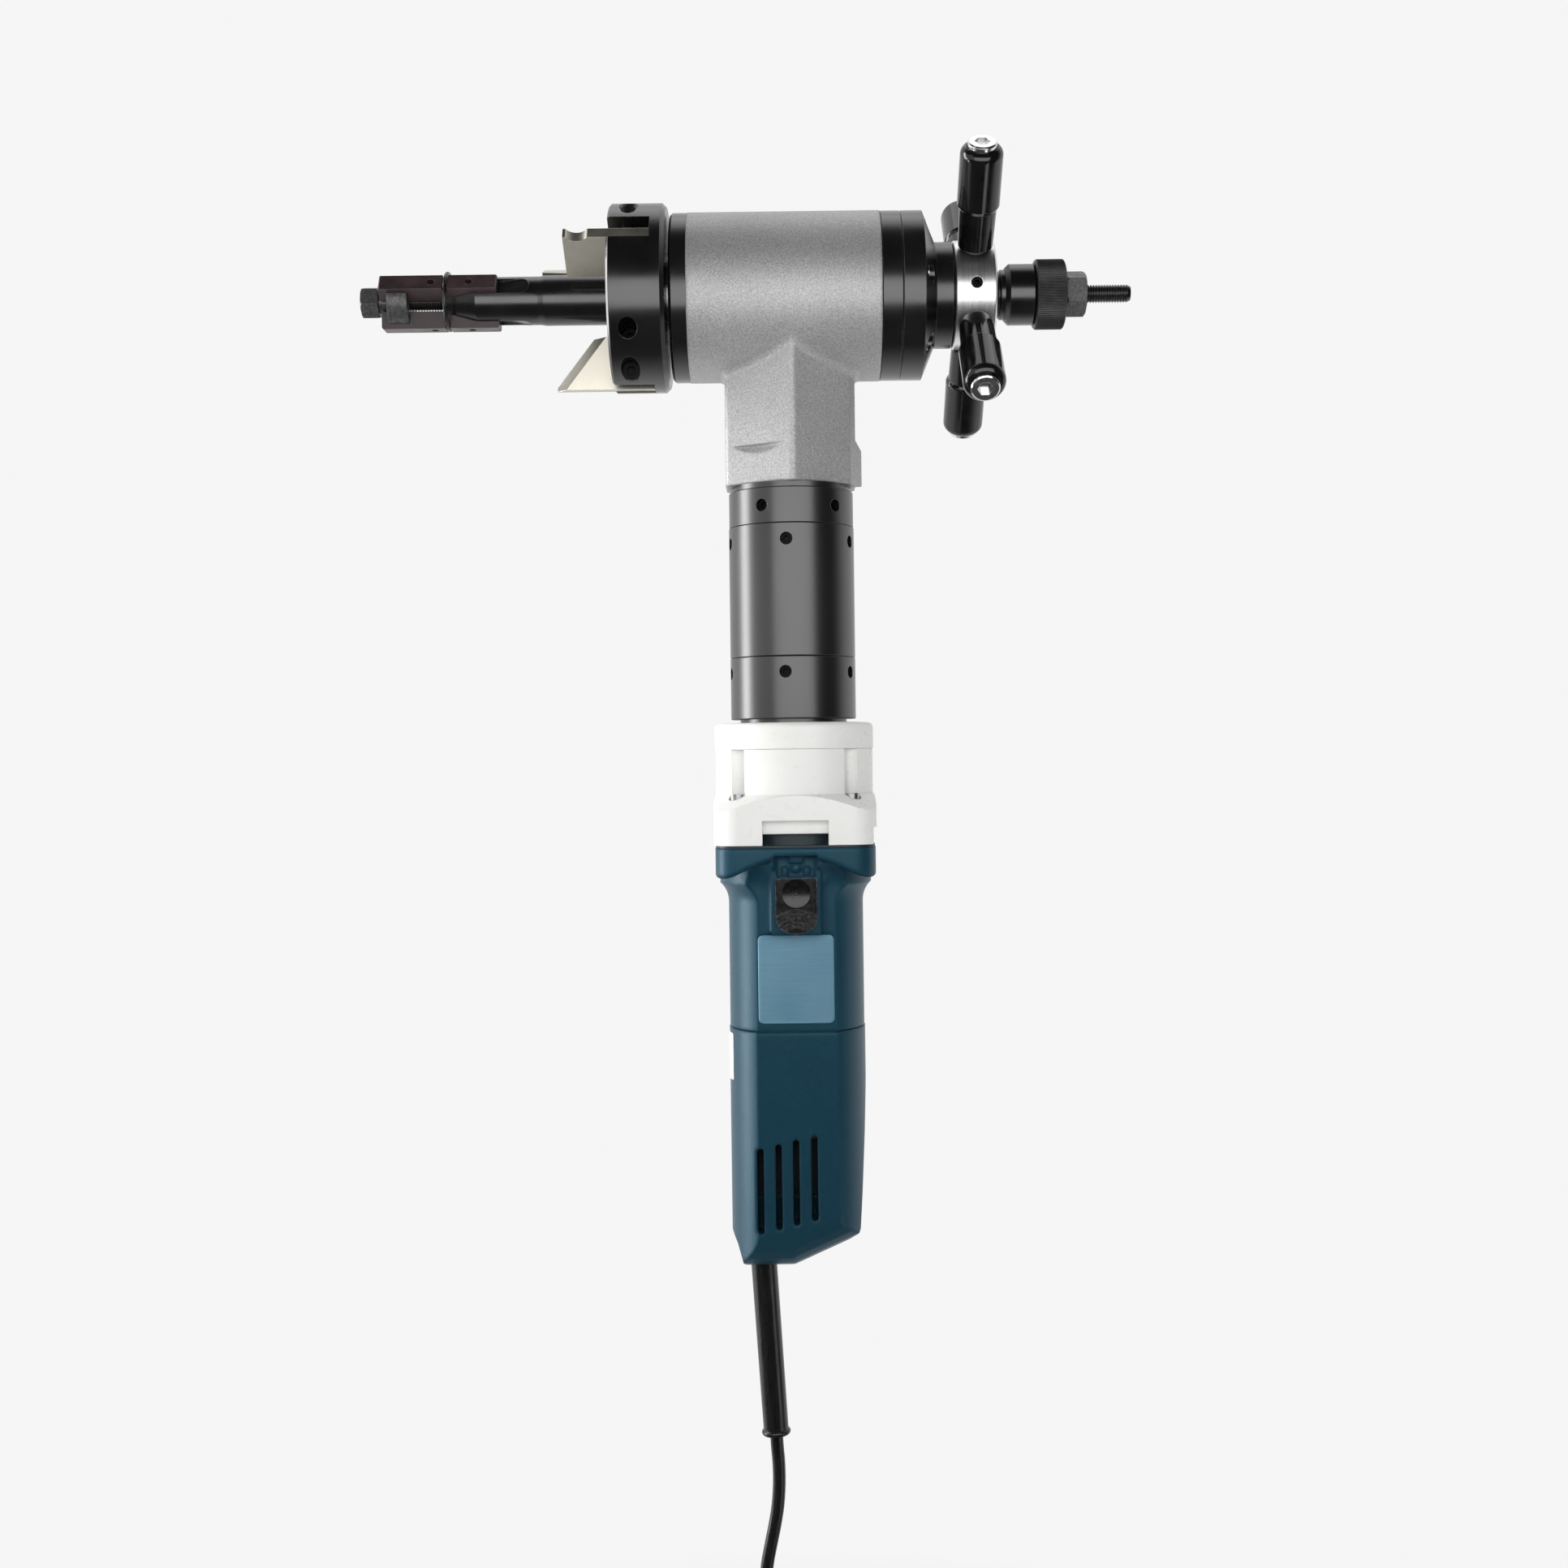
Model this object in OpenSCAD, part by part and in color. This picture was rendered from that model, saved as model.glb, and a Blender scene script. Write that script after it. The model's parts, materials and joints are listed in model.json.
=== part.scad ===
// Pipe beveling machine that is carried by the pipe: an expanding mandrel grips the bore, and a
// motor-driven cutter head is fed along it by a four-arm hand wheel.
// +X runs along the mandrel from the jaws to the hand wheel, +Z is up, and the motor hangs down.
// The origin is on the mandrel's axis at the middle of the jaws.

/* [Mandrel] */
// Diameter of the mandrel where the jaw slots are cut
mandrel_d = 21.6; // [21:0.1:22.2]
// Diameter of the guide shaft behind the slots
shaft_d = 22.4; // [22.3:0.1:23.4]
// Diameter of the nose's front face
nose_d = 15; // [14:0.5:17]
// Distance from the middle of the jaws to the nose
nose_x = 3; // [2:0.5:5]
// Length of the nose's cone
nose_len = 13.7; // [10:0.5:18]
// Distance from the nose to the end of each jaw slot
slot_len = 38; // [34:0.5:42]
// Angle of the ramp that lifts the jaws
ramp_angle = 7.8; // [6:0.1:8]
// Radius of the ramp at the nose
ramp_r = 5; // [4.8:0.05:5.3]
// Width of the keyway along the shaft
key_w = 5; // [4:0.5:6]
// Depth of the keyway
key_depth = 2.4; // [1.5:0.1:3]

/* [Draw bar] */
// Diameter of the threaded rod
rod_d = 8; // [7.4:0.1:8.2]
// Pitch of its thread
rod_pitch = 1.25; // [1:0.05:1.5]
// Depth of its thread
rod_thread = 0.6; // [0.4:0.05:0.8]
// Length of the rod behind the tension nut
rod_tail = 20.6; // [16:0.2:30]
// Length of the rod in front of the front nut
rod_nose = 0.2; // [0.1:0.1:2]
// Width of the front nut across its flats
front_nut_af = 13; // [12:0.5:15]
// Length of the front nut
front_nut_len = 8; // [6:0.5:9]

/* [Jaws] */
// Length of a jaw
jaw_len = 53.2; // [50:0.4:58]
// Width of a jaw
jaw_w = 8.1; // [7:0.1:9]
// Radius from the axis to a jaw's outer face, jaws drawn in
jaw_r = 12.9; // [12.6:0.1:14]
// Spacing of the two tapped holes in a jaw
jaw_hole_gap = 17; // [15:0.5:19]
// Radius of a tapped hole, as drilled
jaw_hole_r = 1.65; // [1.2:0.05:2]
// Depth of a tapped hole
jaw_hole_depth = 5; // [3:0.5:6]
// Diameter of the slotted ring that carries the jaws
carrier_d = 23; // [21:0.5:25]
// Length of the slotted ring
carrier_len = 9; // [7:0.5:11]
// Thickness of the elastic ring
band_t = 1.9; // [1.6:0.1:2.4]

/* [Cutter head] */
// Distance from the middle of the jaws to the head's front face
head_x = 78.4; // [72:0.4:84]
// Diameter of the head
head_d = 84.2; // [80:0.2:88]
// Length of the head
head_len = 25.2; // [23:0.2:28]
// Depth of the cutter slots from the front face
slot_depth = 18.8; // [17:0.2:20]
// Thickness of a cutter
cutter_t = 5.2; // [4.6:0.2:6.4]
// Height of a cutter, from its inner to its outer edge
cutter_h = 24; // [22:0.5:25.5]
// Room beside a cutter in its slot
cutter_room = 7.6; // [6:0.2:8.4]
// Reach of the J cutter in front of the head
j_reach = 19; // [14:0.5:24]
// Reach of the bevel cutter in front of the head
bevel_reach = 26.3; // [20:0.1:30]
// Reach of the facing cutter in front of the head
facing_reach = 36.5; // [28:0.5:38]
// Angle of the bevel cutter's edge
bevel_angle = 37.5; // [30:0.5:40]

/* [Housing] */
// Gap between the cutter head and the front cap
head_gap = 1.6; // [1:0.1:3]
// Length of the front cap
cap_len = 7.8; // [6:0.2:10]
// Diameter of the housing and its caps
housing_d = 75.8; // [74.6:0.2:78]
// Length of the grey housing
housing_len = 86; // [84:0.5:92]
// Distance from the housing's front end to the motor's axis
neck_x = 45; // [43:0.5:46]
// Length of the rear ring
rear_ring_len = 9.3; // [7:0.1:12]
// Length of the rear cover's rim
cover_len = 9.8; // [8:0.2:12]
// Length of the rear cover's cone
cover_cone_len = 5.8; // [4:0.2:8]
// Diameter of the rear cover's collar
collar_d = 47.4; // [44:0.2:50]
// Length of the collar
collar_len = 8.1; // [6:0.1:11]
// Half the width of the six-sided neck
neck_half = 29.3; // [28.4:0.1:30]
// Distance from the motor's axis to the neck's front edge
neck_front = 28.7; // [27.8:0.1:29.6]
// Radius of the root where the neck spreads into the housing
root_r = 2.6; // [2:0.2:3.6]
// Offset of the neck's front edge to the right
neck_edge = 1; // [0:0.2:2.4]
// Distance from the mandrel's axis to the neck's lower end
neck_drop = 87; // [84:0.5:92]

/* [Hand wheel] */
// Length of the hub
hub_len = 18.4; // [16:0.1:22]
// Diameter of the hub
hub_d = 48.4; // [46:0.2:52]
// Radius from the axis to the outer end of a grip
arm_r = 73; // [64:0.5:84]
// Diameter of a grip
grip_d = 18.8; // [16:0.2:20]
// Diameter of a grip beside the hub
grip_root_d = 15.6; // [14:0.2:16]
// Radius from the axis to the step in a grip
grip_step_r = 45; // [40:0.5:50]
// Turn of the first arm from straight up
arm_turn = 45; // [0:0.5:89]

/* [Rear end] */
// Gap between the hub and the stop sleeve
sleeve_gap = 5.2; // [3:0.1:7]
// Length of the stop sleeve
sleeve_len = 13.4; // [12:0.2:18]
// Diameter of the stop sleeve
sleeve_d = 27.3; // [25:0.1:30]
// Diameter of the tension nut's knurl
knurl_d = 31.3; // [29:0.1:34]
// Length of the knurl
knurl_len = 13.7; // [11:0.1:16]
// Width of the tension nut's hexagon across its flats
hex_af = 18; // [16:0.5:20]
// Length of the hexagon
hex_len = 9.7; // [8:0.1:12]

/* [Gearbox] */
// Diameter of the gearbox tube
tube_d = 56.8; // [56:0.2:59]
// Wall of the gearbox tube
tube_wall = 3.9; // [3.2:0.1:4.2]
// Height of the dark seat under the neck
seat_len = 2.6; // [2:0.1:4]
// Length of the upper ring
upper_ring_len = 16; // [14:0.2:20]
// Length of the gearbox tube
tube_len = 58.9; // [57.5:0.1:66]
// Length of the lower ring
lower_ring_len = 27.7; // [24:0.1:32]
// Radius of the grub screws
grub_r = 2.7; // [2:0.1:3]
// Module of the planetary gears
gear_module = 0.9; // [0.86:0.005:0.91]
// Module of the bevel gears at their outer end
bevel_module = 1.75; // [1.7:0.01:1.78]

/* [Adapter] */
// Gap that shows the lower ring's spigot
spigot_gap = 1.8; // [1:0.1:3]
// Width of the white adapter
adapter_w = 72; // [70:0.5:76]
// Height of the adapter's cap
adapter_cap_len = 11.9; // [10:0.1:14]
// Height of the adapter's case
case_len = 42.1; // [40:0.1:48]
// Width of the notch in the case
notch_w = 29; // [24:0.5:32]
// Height of the notch
notch_h = 10.8; // [9:0.1:12]

/* [Motor] */
// Width of the motor's square flange
flange_w = 71; // [68:0.5:74]
// Height of the flange at its corners
flange_len = 9.4; // [8:0.2:12]
// Diameter of the motor's body
body_d = 61; // [60:0.2:64]
// Length of the motor's shell with its flange
shell_len = 82; // [80:0.2:86]
// Depth of the flats on the shell and the rear handle, front and back
flat_depth = 5.5; // [4:0.1:6]
// Wall of the shell and the rear handle
shell_wall = 2.8; // [2:0.1:3]
// Length of the rear handle
handle_len = 106.8; // [104:0.2:118]
// Width of the switch slider
slider_w = 18.2; // [15:0.2:20]
// Length of the switch slider
slider_len = 24.4; // [22:0.2:26]
// Distance from the top of the flange to the slider
slider_drop = 13.3; // [13:0.1:16]
// Travel of the switch slider
slider_travel = 6; // [4:0.5:6.5]

/* [Cord] */
// Diameter of the cord
cord_d = 6; // [5.6:0.1:6.2]
// Length of the strain relief
relief_len = 83; // [76:1:88]
// Diameter of the strain relief where it leaves the handle
relief_d = 11.8; // [11:0.1:13]

/* [Hidden] */
$fn = 64;
fit = 0.05;
running = 0.06;
clear = 0.3;

// Stations along X
slot_x = nose_x + slot_len;
cap_x = head_x + head_len + head_gap;
housing_x = cap_x + cap_len;
ring_x = housing_x + housing_len;
cover_x = ring_x + rear_ring_len;
cone_x = cover_x + cover_len;
collar_x = cone_x + cover_cone_len;
hub_gap = 0.4;
hub_x = collar_x + collar_len + hub_gap;
sleeve_x = hub_x + hub_len + sleeve_gap;
nut_gap = 0.2;
knurl_x = sleeve_x + sleeve_len + nut_gap;
hex_x = knurl_x + knurl_len;
motor_x = housing_x + neck_x;

// Stations along Z, all below the mandrel
upper_z = -neck_drop - seat_len;
tube_z = upper_z - upper_ring_len;
lower_z = tube_z - tube_len;
spigot_z = lower_z - lower_ring_len;
cap_z = spigot_z - spigot_gap;
case_z = cap_z - adapter_cap_len;
plate_gap = 1.2;
flange_z = case_z - case_len - plate_gap;
seam_z = flange_z - shell_len;
handle_z = seam_z - handle_len;

// Radii that several pieces share
rod_r = rod_d / 2;
shaft_r = shaft_d / 2;
spindle_r = 20;
spindle_bore = shaft_r + 0.6;
bearing_r = 34;
housing_r = housing_d / 2;
end_r = 10;
tube_r = tube_d / 2;
tube_bore = tube_r - tube_wall;
body_r = body_d / 2;
flat_y = body_r - flat_depth;
body_bore = body_r - shell_wall - 1.2;
handle_bore = flat_y - shell_wall;

// The three jaws and the three cutters lie at these turns from straight up, towards the viewer
thirds = [60, 180, 300];
ramp_slope = tan(ramp_angle);
jaw_seat = 0.08;
jaw_side = 0.12;
carrier_core = 8.4;
carrier_x = -carrier_len / 2 - 14;
carrier_neck_r = ramp_r - 0.25;
jaw_under = ramp_r + jaw_seat;
band_r = jaw_r - 0.4;
band_x = nose_x + 0.4;
front_nut_x = -jaw_len / 2 - 1.3 - front_nut_len;

// Cutters
cutter_top = head_d / 2 - 0.7;
cutter_low = cutter_top - cutter_h;
cutter_back = head_x + slot_depth - 0.2;
clamp_x = head_x + slot_depth / 2 - 0.4;
clamp_rise = [21, 36];
clamp_shank = 2.5;
clamp_head = 4.1;
clamp_head_y = cutter_t / 2 + 11.5;
clamp_head_len = 3.4;
spindle_x = head_x + slot_depth + 0.4;
seat_end = ring_x + 3;

// Rear cover screws and adapter screws, all the same
screw_r = 2;
screw_head = 3.5;
screw_head_len = 2.6;
screw_len = 9;
cover_pcd_r = (housing_r + collar_d / 2) / 2;
adapter_screw_r = adapter_w / 2 * 0.985;

// Gears
pressure = 20;
slack = 0.06;
bevel_slack = 0.3;
sun_teeth = 15;
planet_teeth = 15;
ring_teeth = 45;
arm = gear_module * (sun_teeth + planet_teeth) / 2;
gear_add = 0.8 * gear_module;
gear_ded = 1.15 * gear_module;
ring_add = 0.6 * gear_module;
planet_h = 12;
planet_bore = 3;
plate_h = 4.5;
stage_gap = 1.4;
ring_top = tube_z - 8;
upper_plate_z = ring_top + 1.5;
upper_gear_z = upper_plate_z - plate_h - stage_gap - planet_h;
lower_plate_z = upper_gear_z - 2 * stage_gap;
lower_gear_z = lower_plate_z - plate_h - stage_gap - planet_h;
ring_low = lower_z + 3;
pinion_teeth = 12;
crown_teeth = 36;
pinion_r = bevel_module * pinion_teeth / 2;
crown_r = bevel_module * crown_teeth / 2;
bevel_face = 0.72;
pinion_shaft = 7.5;
neck_bore = 16;
neck_round = 2.8;
neck_flank = 11.5;
neck_corners = [[neck_edge, -neck_front], [neck_half, -neck_flank], [neck_half, neck_flank],
    [0, neck_front], [-neck_half, neck_flank], [-neck_half, -neck_flank]];
flat_turn = 27;
corner_flat = neck_half * cos(flat_turn) + neck_flank * sin(flat_turn) - 1.5;
bearing_w = 15;

// Motor stations
plate_len = 4.5;
fan_z = flange_z - 21;
core_z = flange_z - 79;
core_len = 40;
core_r = 16;
comm_z = core_z - 18;
comm_r = 10.5;
shaft_motor = 4;
bearing_od = 11;
tail_bearing_z = comm_z - 12;
corner_r = 11;
slider_z = flange_z - slider_drop - slider_len;
slider_top = 4.2;
vents = [-17.2, -9.2, -1.4, 6.7];
vent_len = 38;
vent_w = 2.9;
vent_low = handle_z + 17.4;
handle_floor = handle_z + 32;
module_size = [1.68 * handle_bore, 1.05 * handle_bore, 25];

// Cord: the free stretch from the strain relief, chosen by hand, then a hank in two layers
relief_from = [motor_x - 0.551 * body_r, 0, handle_z + 3];
relief_tilt = 3.4;
relief_to = relief_from + relief_len * [sin(relief_tilt), 0, -cos(relief_tilt)];
lead_points = [
    [147, 0, -531], [147.1, 0, -540], [146.4, 0, -550], [144.9, 0, -559], [143, 0, -568],
    [141.1, 0, -578], [140.2, -0.8, -591], [140, -2.6, -606], [140, -3.5, -619]
];
hank_top = [140, -3.5, -632];
hank_run = 90;
hank_turns = 3;
hank_step = 7.4;
hank_in = 18.2;
hank_out = hank_in + hank_turns * hank_step;
hank_waist = 9;
hank_layer = -2 * hank_top[1];
hank_tail = hank_out + 22;
run_rings = 5;
fold_rings = 7;
loop_rings = 2 * (run_rings + fold_rings);

// Shared shapes

// Solid of revolution about X, from points of [radius, x]
module turned_x(points) {
    rotate([0, 90, 0]) rotate_extrude() polygon(points);
}

// Solid of revolution about the motor's axis, from points of [radius, z]
module turned_motor(points) {
    translate([motor_x, 0, 0]) rotate_extrude() polygon(points);
}

module rod_x(x0, x1, r) {
    translate([x0, 0, 0]) rotate([0, 90, 0]) cylinder(h = x1 - x0, r = r);
}

module rod_motor(z0, z1, r) {
    translate([motor_x, 0, z0]) cylinder(h = z1 - z0, r = r);
}

// A flat outline in X and height above the axis, turned to one of the thirds
module blade(turn, width) {
    rotate([turn, 0, 0]) rotate([90, 0, 0]) linear_extrude(width, center = true) children();
}

module rounded_square(width, r) {
    square([width, width - 2 * r], center = true);
    square([width - 2 * r, width], center = true);
    for (x = [-1, 1], y = [-1, 1])
        translate([x, y] * (width / 2 - r)) circle(r);
}

// Ridges of a thread drawn as rings, as points of [radius, x] from x0 to x1
function ridges(x0, x1, pitch, r, depth) =
    [for (i = [0 : floor((x1 - x0) / pitch) - 1]) each [
        [r, x0 + (i + 0.1) * pitch], [r - depth, x0 + (i + 0.45) * pitch],
        [r - depth, x0 + (i + 0.55) * pitch], [r, x0 + (i + 0.9) * pitch]
    ]];

function arc(cx, cy, r, from, to, steps) =
    [for (i = [0 : steps]) let (a = from + (to - from) * i / steps) [cx + r * cos(a), cy + r * sin(a)]];

module hexagon_x(x0, len, af, turn) {
    corner = af / sqrt(3);
    intersection() {
        rotate([turn, 0, 0]) rotate([0, 90, 0]) translate([0, 0, x0]) cylinder(h = len, r = corner, $fn = 6);
        turned_x([[0, x0], [af / 2 + 0.2, x0], [corner + 0.1, x0 + 1], [corner + 0.1, x0 + len - 1],
            [af / 2 + 0.2, x0 + len], [0, x0 + len]]);
    }
}

// Involute teeth
function involute(a) = tan(a) * 180 / PI - a;

function tooth_half(teeth, pitch_r, r, gap) =
    let (base = pitch_r * cos(pressure), a = r > base ? acos(base / r) : 0)
    90 / teeth - gap / pitch_r * 180 / PI + involute(pressure) - involute(a);

function gear_points(teeth, m, add, ded, gap, steps) =
    let (p = teeth * m / 2, low = p - ded, rise = add + ded)
    [for (i = [0 : teeth - 1], k = [0 : 2 * steps + 1])
        let (up = k <= steps ? k : 2 * steps + 1 - k, r = low + rise * up / steps)
        let (a = 360 * i / teeth + (k <= steps ? -1 : 1) * tooth_half(teeth, p, r, gap))
        r * [cos(a), sin(a)]];

module spur(teeth, h, bore) {
    linear_extrude(h) difference() {
        polygon(gear_points(teeth, gear_module, gear_add, gear_ded, slack, 4));
        circle(bore);
    }
}

// Outline of a straight bevel gear on its back cone, drawn in towards its apex by share
function bevel_ring(teeth, pitch_r, cone, add, ded, steps, share) =
    let (back = pitch_r / cos(cone), apex = pitch_r / tan(cone) + pitch_r * tan(cone))
    [for (i = [0 : teeth - 1], k = [0 : 2 * steps + 1])
        let (up = k <= steps ? k : 2 * steps + 1 - k, r = back - ded + (add + ded) * up / steps)
        let (half = tooth_half(teeth / cos(cone), back, r, bevel_slack) / cos(cone))
        let (a = 360 * i / teeth + (k <= steps ? -half : half))
        share * [r * cos(cone) * cos(a), r * cos(cone) * sin(a), apex - r * sin(cone)]];

module bevel_body(teeth, pitch_r, cone, add, ded, steps) {
    n = teeth * 2 * (steps + 1);
    back = (pitch_r / tan(cone)) + ded * sin(cone);
    points = concat(bevel_ring(teeth, pitch_r, cone, add, ded, steps, 1),
        bevel_ring(teeth, pitch_r, cone, add, ded, steps, bevel_face),
        [[0, 0, back], [0, 0, back * bevel_face]]);
    faces = [for (i = [0 : n - 1]) let (j = (i + 1) % n) each [
        [i, 2 * n, j], [n + i, n + j, 2 * n + 1], [i, j, n + j], [i, n + j, n + i]
    ]];
    polyhedron(points, faces);
}

// A tube of straight-sided rings along a route
function along(points, i) = let (n = len(points) - 1)
    let (step = points[min(i + 1, n)] - points[max(i - 1, 0)]) step / norm(step);

function ring_at(points, i, r, sides) =
    let (t = along(points, i), side = cross([0, 1, 0], t), u = side / norm(side), v = cross(t, u))
    [for (k = [0 : sides - 1]) points[i] + r * (cos(360 * k / sides) * u + sin(360 * k / sides) * v)];

module swept(points, r, sides) {
    n = len(points);
    rings = [for (i = [0 : n - 1]) each ring_at(points, i, r, sides)];
    walls = [for (i = [0 : n - 2], k = [0 : sides - 1])
        let (a = i * sides + k, b = i * sides + (k + 1) % sides) each [
            [a, a + sides, b + sides], [a, b + sides, b]
        ]];
    caps = [for (k = [1 : sides - 2]) each [
        [0, k, k + 1], [(n - 1) * sides, (n - 1) * sides + k + 1, (n - 1) * sides + k]
    ]];
    polyhedron(rings, concat(walls, caps));
}

// Mandrel, draw bar and jaws

module mandrel_shaft() color("#1c1c1e") {
    mandrel_r = mandrel_d / 2;
    step_x = slot_x + 4;
    thread_x = hub_x - 28;
    thread_end = sleeve_x - 0.5;
    difference() {
        turned_x(concat(
            [[0, nose_x], [nose_d / 2, nose_x], [mandrel_r, nose_x + nose_len], [mandrel_r, step_x],
                [shaft_r, step_x + 2.5]],
            ridges(thread_x, thread_end, 2.5, shaft_r, 1),
            [[shaft_r, sleeve_x], [end_r, sleeve_x], [end_r, sleeve_x + sleeve_len - 1.5],
                [0, sleeve_x + sleeve_len - 1.5]]));
        rod_x(nose_x - 1, sleeve_x + sleeve_len, rod_r + 0.15);
        for (turn = thirds) jaw_slot(turn);
        translate([cover_x - 28, -key_w / 2, shaft_r - key_depth])
            cube([sleeve_x - cover_x + 27.5, key_w, key_depth + 1]);
    }
}

// Slot with a round end, whose floor climbs towards the shaft
module jaw_slot(turn) {
    half = jaw_w / 2 + jaw_side;
    top = jaw_r + 2;
    intersection() {
        blade(turn, 2 * half) polygon([
            [nose_x - 1, ramp_r - ramp_slope], [slot_x + 1, ramp_r + (slot_len + 1) * ramp_slope],
            [slot_x + 1, top], [nose_x - 1, top]]);
        rotate([turn, 0, 0]) linear_extrude(top) {
            translate([nose_x - 2, -half]) square([slot_len + 2 - half, 2 * half]);
            translate([slot_x - half, 0]) circle(half);
        }
    }
}

module stop_sleeve() color("#1c1c1e") {
    r = sleeve_d / 2;
    end = sleeve_x + sleeve_len;
    turned_x([[end_r + fit, sleeve_x], [r - 2, sleeve_x], [r, sleeve_x + 2], [r, end - 0.6],
        [r - 0.6, end], [rod_r + 0.3, end], [rod_r + 0.3, end - 1.2], [end_r + fit, end - 1.2]]);
}

module draw_bar() color("#2b2b2e") {
    front = front_nut_x - rod_nose;
    back = hex_x + hex_len + rod_tail;
    turned_x(concat([[0, front], [rod_r - 0.6, front]],
        ridges(front + 0.6, nose_x + 1, rod_pitch, rod_r, rod_thread),
        ridges(hex_x + hex_len - 1, back - 0.8, rod_pitch, rod_r, rod_thread),
        [[rod_r - 0.8, back], [0, back]]));
}

module jaw_carrier() color("#232326") {
    half = carrier_len / 2;
    difference() {
        turned_x([[0, front_nut_x + front_nut_len], [carrier_neck_r, front_nut_x + front_nut_len],
            [carrier_neck_r, carrier_x - half], [carrier_d / 2, carrier_x - half],
            [carrier_d / 2, carrier_x + half], [0, carrier_x + half]]);
        rod_x(front_nut_x, 0, rod_r + fit);
        for (turn = thirds)
            blade(turn, jaw_w + 2 * jaw_side) translate([carrier_x - half - 1, carrier_core])
                square([carrier_len + 2, carrier_d]);
    }
}

module front_nut() color("#2f3033") {
    difference() {
        hexagon_x(front_nut_x, front_nut_len - fit, front_nut_af, -13);
        rod_x(front_nut_x - 1, front_nut_x + front_nut_len + 1, rod_r + fit);
    }
}

// Elastic ring that draws the jaws in
module jaw_ring() color("#161616") {
    translate([band_x, 0, 0]) rotate([0, 90, 0])
        rotate_extrude() translate([band_r, 0]) circle(band_t / 2);
}

module jaw(turn) color("#3a2c2e") {
    half = jaw_len / 2;
    notch0 = carrier_x - carrier_len / 2 - 0.2;
    notch1 = carrier_x + carrier_len / 2 + 0.2;
    notch_r = carrier_core + clear;
    groove = band_t / 2 + 0.15;
    groove_r = sqrt(pow(band_r - band_t / 2, 2) - pow(jaw_w / 2, 2)) - fit;
    tip_r = jaw_under + (half - nose_x) * ramp_slope;
    difference() {
        blade(turn, jaw_w) polygon([
            [-half, jaw_under], [notch0, jaw_under], [notch0, notch_r], [notch1, notch_r],
            [notch1, jaw_under], [nose_x, jaw_under], [half, tip_r],
            [half, jaw_r - 0.6], [half - 0.6, jaw_r],
            [band_x + groove, jaw_r], [band_x + groove, groove_r],
            [band_x - groove, groove_r], [band_x - groove, jaw_r],
            [0.6 - half, jaw_r], [-half, jaw_r - 0.6]]);
        rotate([turn, 0, 0]) for (side = [-1, 1])
            translate([nose_x + 2.5 + side * jaw_hole_gap / 2, 0, jaw_r - jaw_hole_depth])
                cylinder(h = jaw_hole_depth + 1, r = jaw_hole_r);
    }
}

module jaw_1() { jaw(thirds[0]); }
module jaw_2() { jaw(thirds[1]); }
module jaw_3() { jaw(thirds[2]); }

// Nut with a straight knurl and a hexagon, turned to draw the bar back
module tension_nut() color("#202023") {
    r = knurl_d / 2;
    flutes = 96;
    cut = 0.35;
    edge = 1.6;
    knurl = [for (i = [0 : 2 * flutes - 1]) let (a = 180 * i / flutes)
        (r - (i % 2) * cut) * [cos(a), sin(a)]];
    difference() {
        union() {
            intersection() {
                translate([knurl_x, 0, 0]) rotate([0, 90, 0]) linear_extrude(knurl_len) polygon(knurl);
                turned_x(concat([[0, knurl_x], [r - edge, knurl_x]],
                    arc(r - edge + 0.1, knurl_x + edge, edge, -90, 0, 5),
                    arc(r - edge + 0.1, hex_x - edge, edge, 0, 90, 5), [[0, hex_x]]));
            }
            rod_x(hex_x - 0.5, hex_x + 0.6, hex_af / 2 - 1);
            hexagon_x(hex_x + 0.5, hex_len - 0.5, hex_af, 0);
        }
        rod_x(knurl_x - 1, hex_x + hex_len + 1, rod_r + running);
    }
}

// Cutter head and cutters

module cutter_head() color("#1b1b1d") {
    r = head_d / 2;
    back = head_x + head_len;
    difference() {
        turned_x([[spindle_bore + 0.6, head_x], [r - 1, head_x], [r, head_x + 1], [r, back - 1.8],
            [r - 1.8, back], [spindle_r + fit, back], [spindle_r + fit, spindle_x - 0.2],
            [spindle_bore + 0.6, spindle_x - 0.2]]);
        for (turn = thirds) rotate([turn, 0, 0]) {
            translate([head_x - 1, -cutter_t / 2 - fit, cutter_low - 0.2])
                cube([slot_depth + 1, cutter_t + fit + cutter_room, r]);
            for (rise = clamp_rise) translate([clamp_x, 0, rise]) rotate([-90, 0, 0]) {
                cylinder(h = clamp_head_y + 1, r = clamp_shank + 0.1);
                translate([0, 0, clamp_head_y]) cylinder(h = r, r = clamp_head + 0.15);
            }
        }
    }
}

module cutter_screws() color("#2a2a2c") {
    for (turn = thirds, rise = clamp_rise)
        rotate([turn, 0, 0]) translate([clamp_x, 0, rise]) rotate([-90, 0, 0]) difference() {
            union() {
                translate([0, 0, cutter_t / 2 + fit])
                    cylinder(h = clamp_head_y - cutter_t / 2, r = clamp_shank);
                translate([0, 0, clamp_head_y + fit]) cylinder(h = clamp_head_len, r = clamp_head);
            }
            translate([0, 0, clamp_head_y + 1.2])
                cylinder(h = clamp_head_len, r = clamp_shank - 0.3, $fn = 6);
        }
}

// Cutter with a hollow nose, for a J groove
module j_cutter() color("#9a9280") {
    front = head_x - j_reach;
    hook = 6;
    blade(thirds[0], cutter_t) difference() {
        polygon([[front - 0.3, cutter_low], [cutter_back, cutter_low], [cutter_back, cutter_top],
            [front, cutter_top]]);
        translate([front + hook, cutter_top + hook - 2.4]) circle(hook);
    }
}

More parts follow.
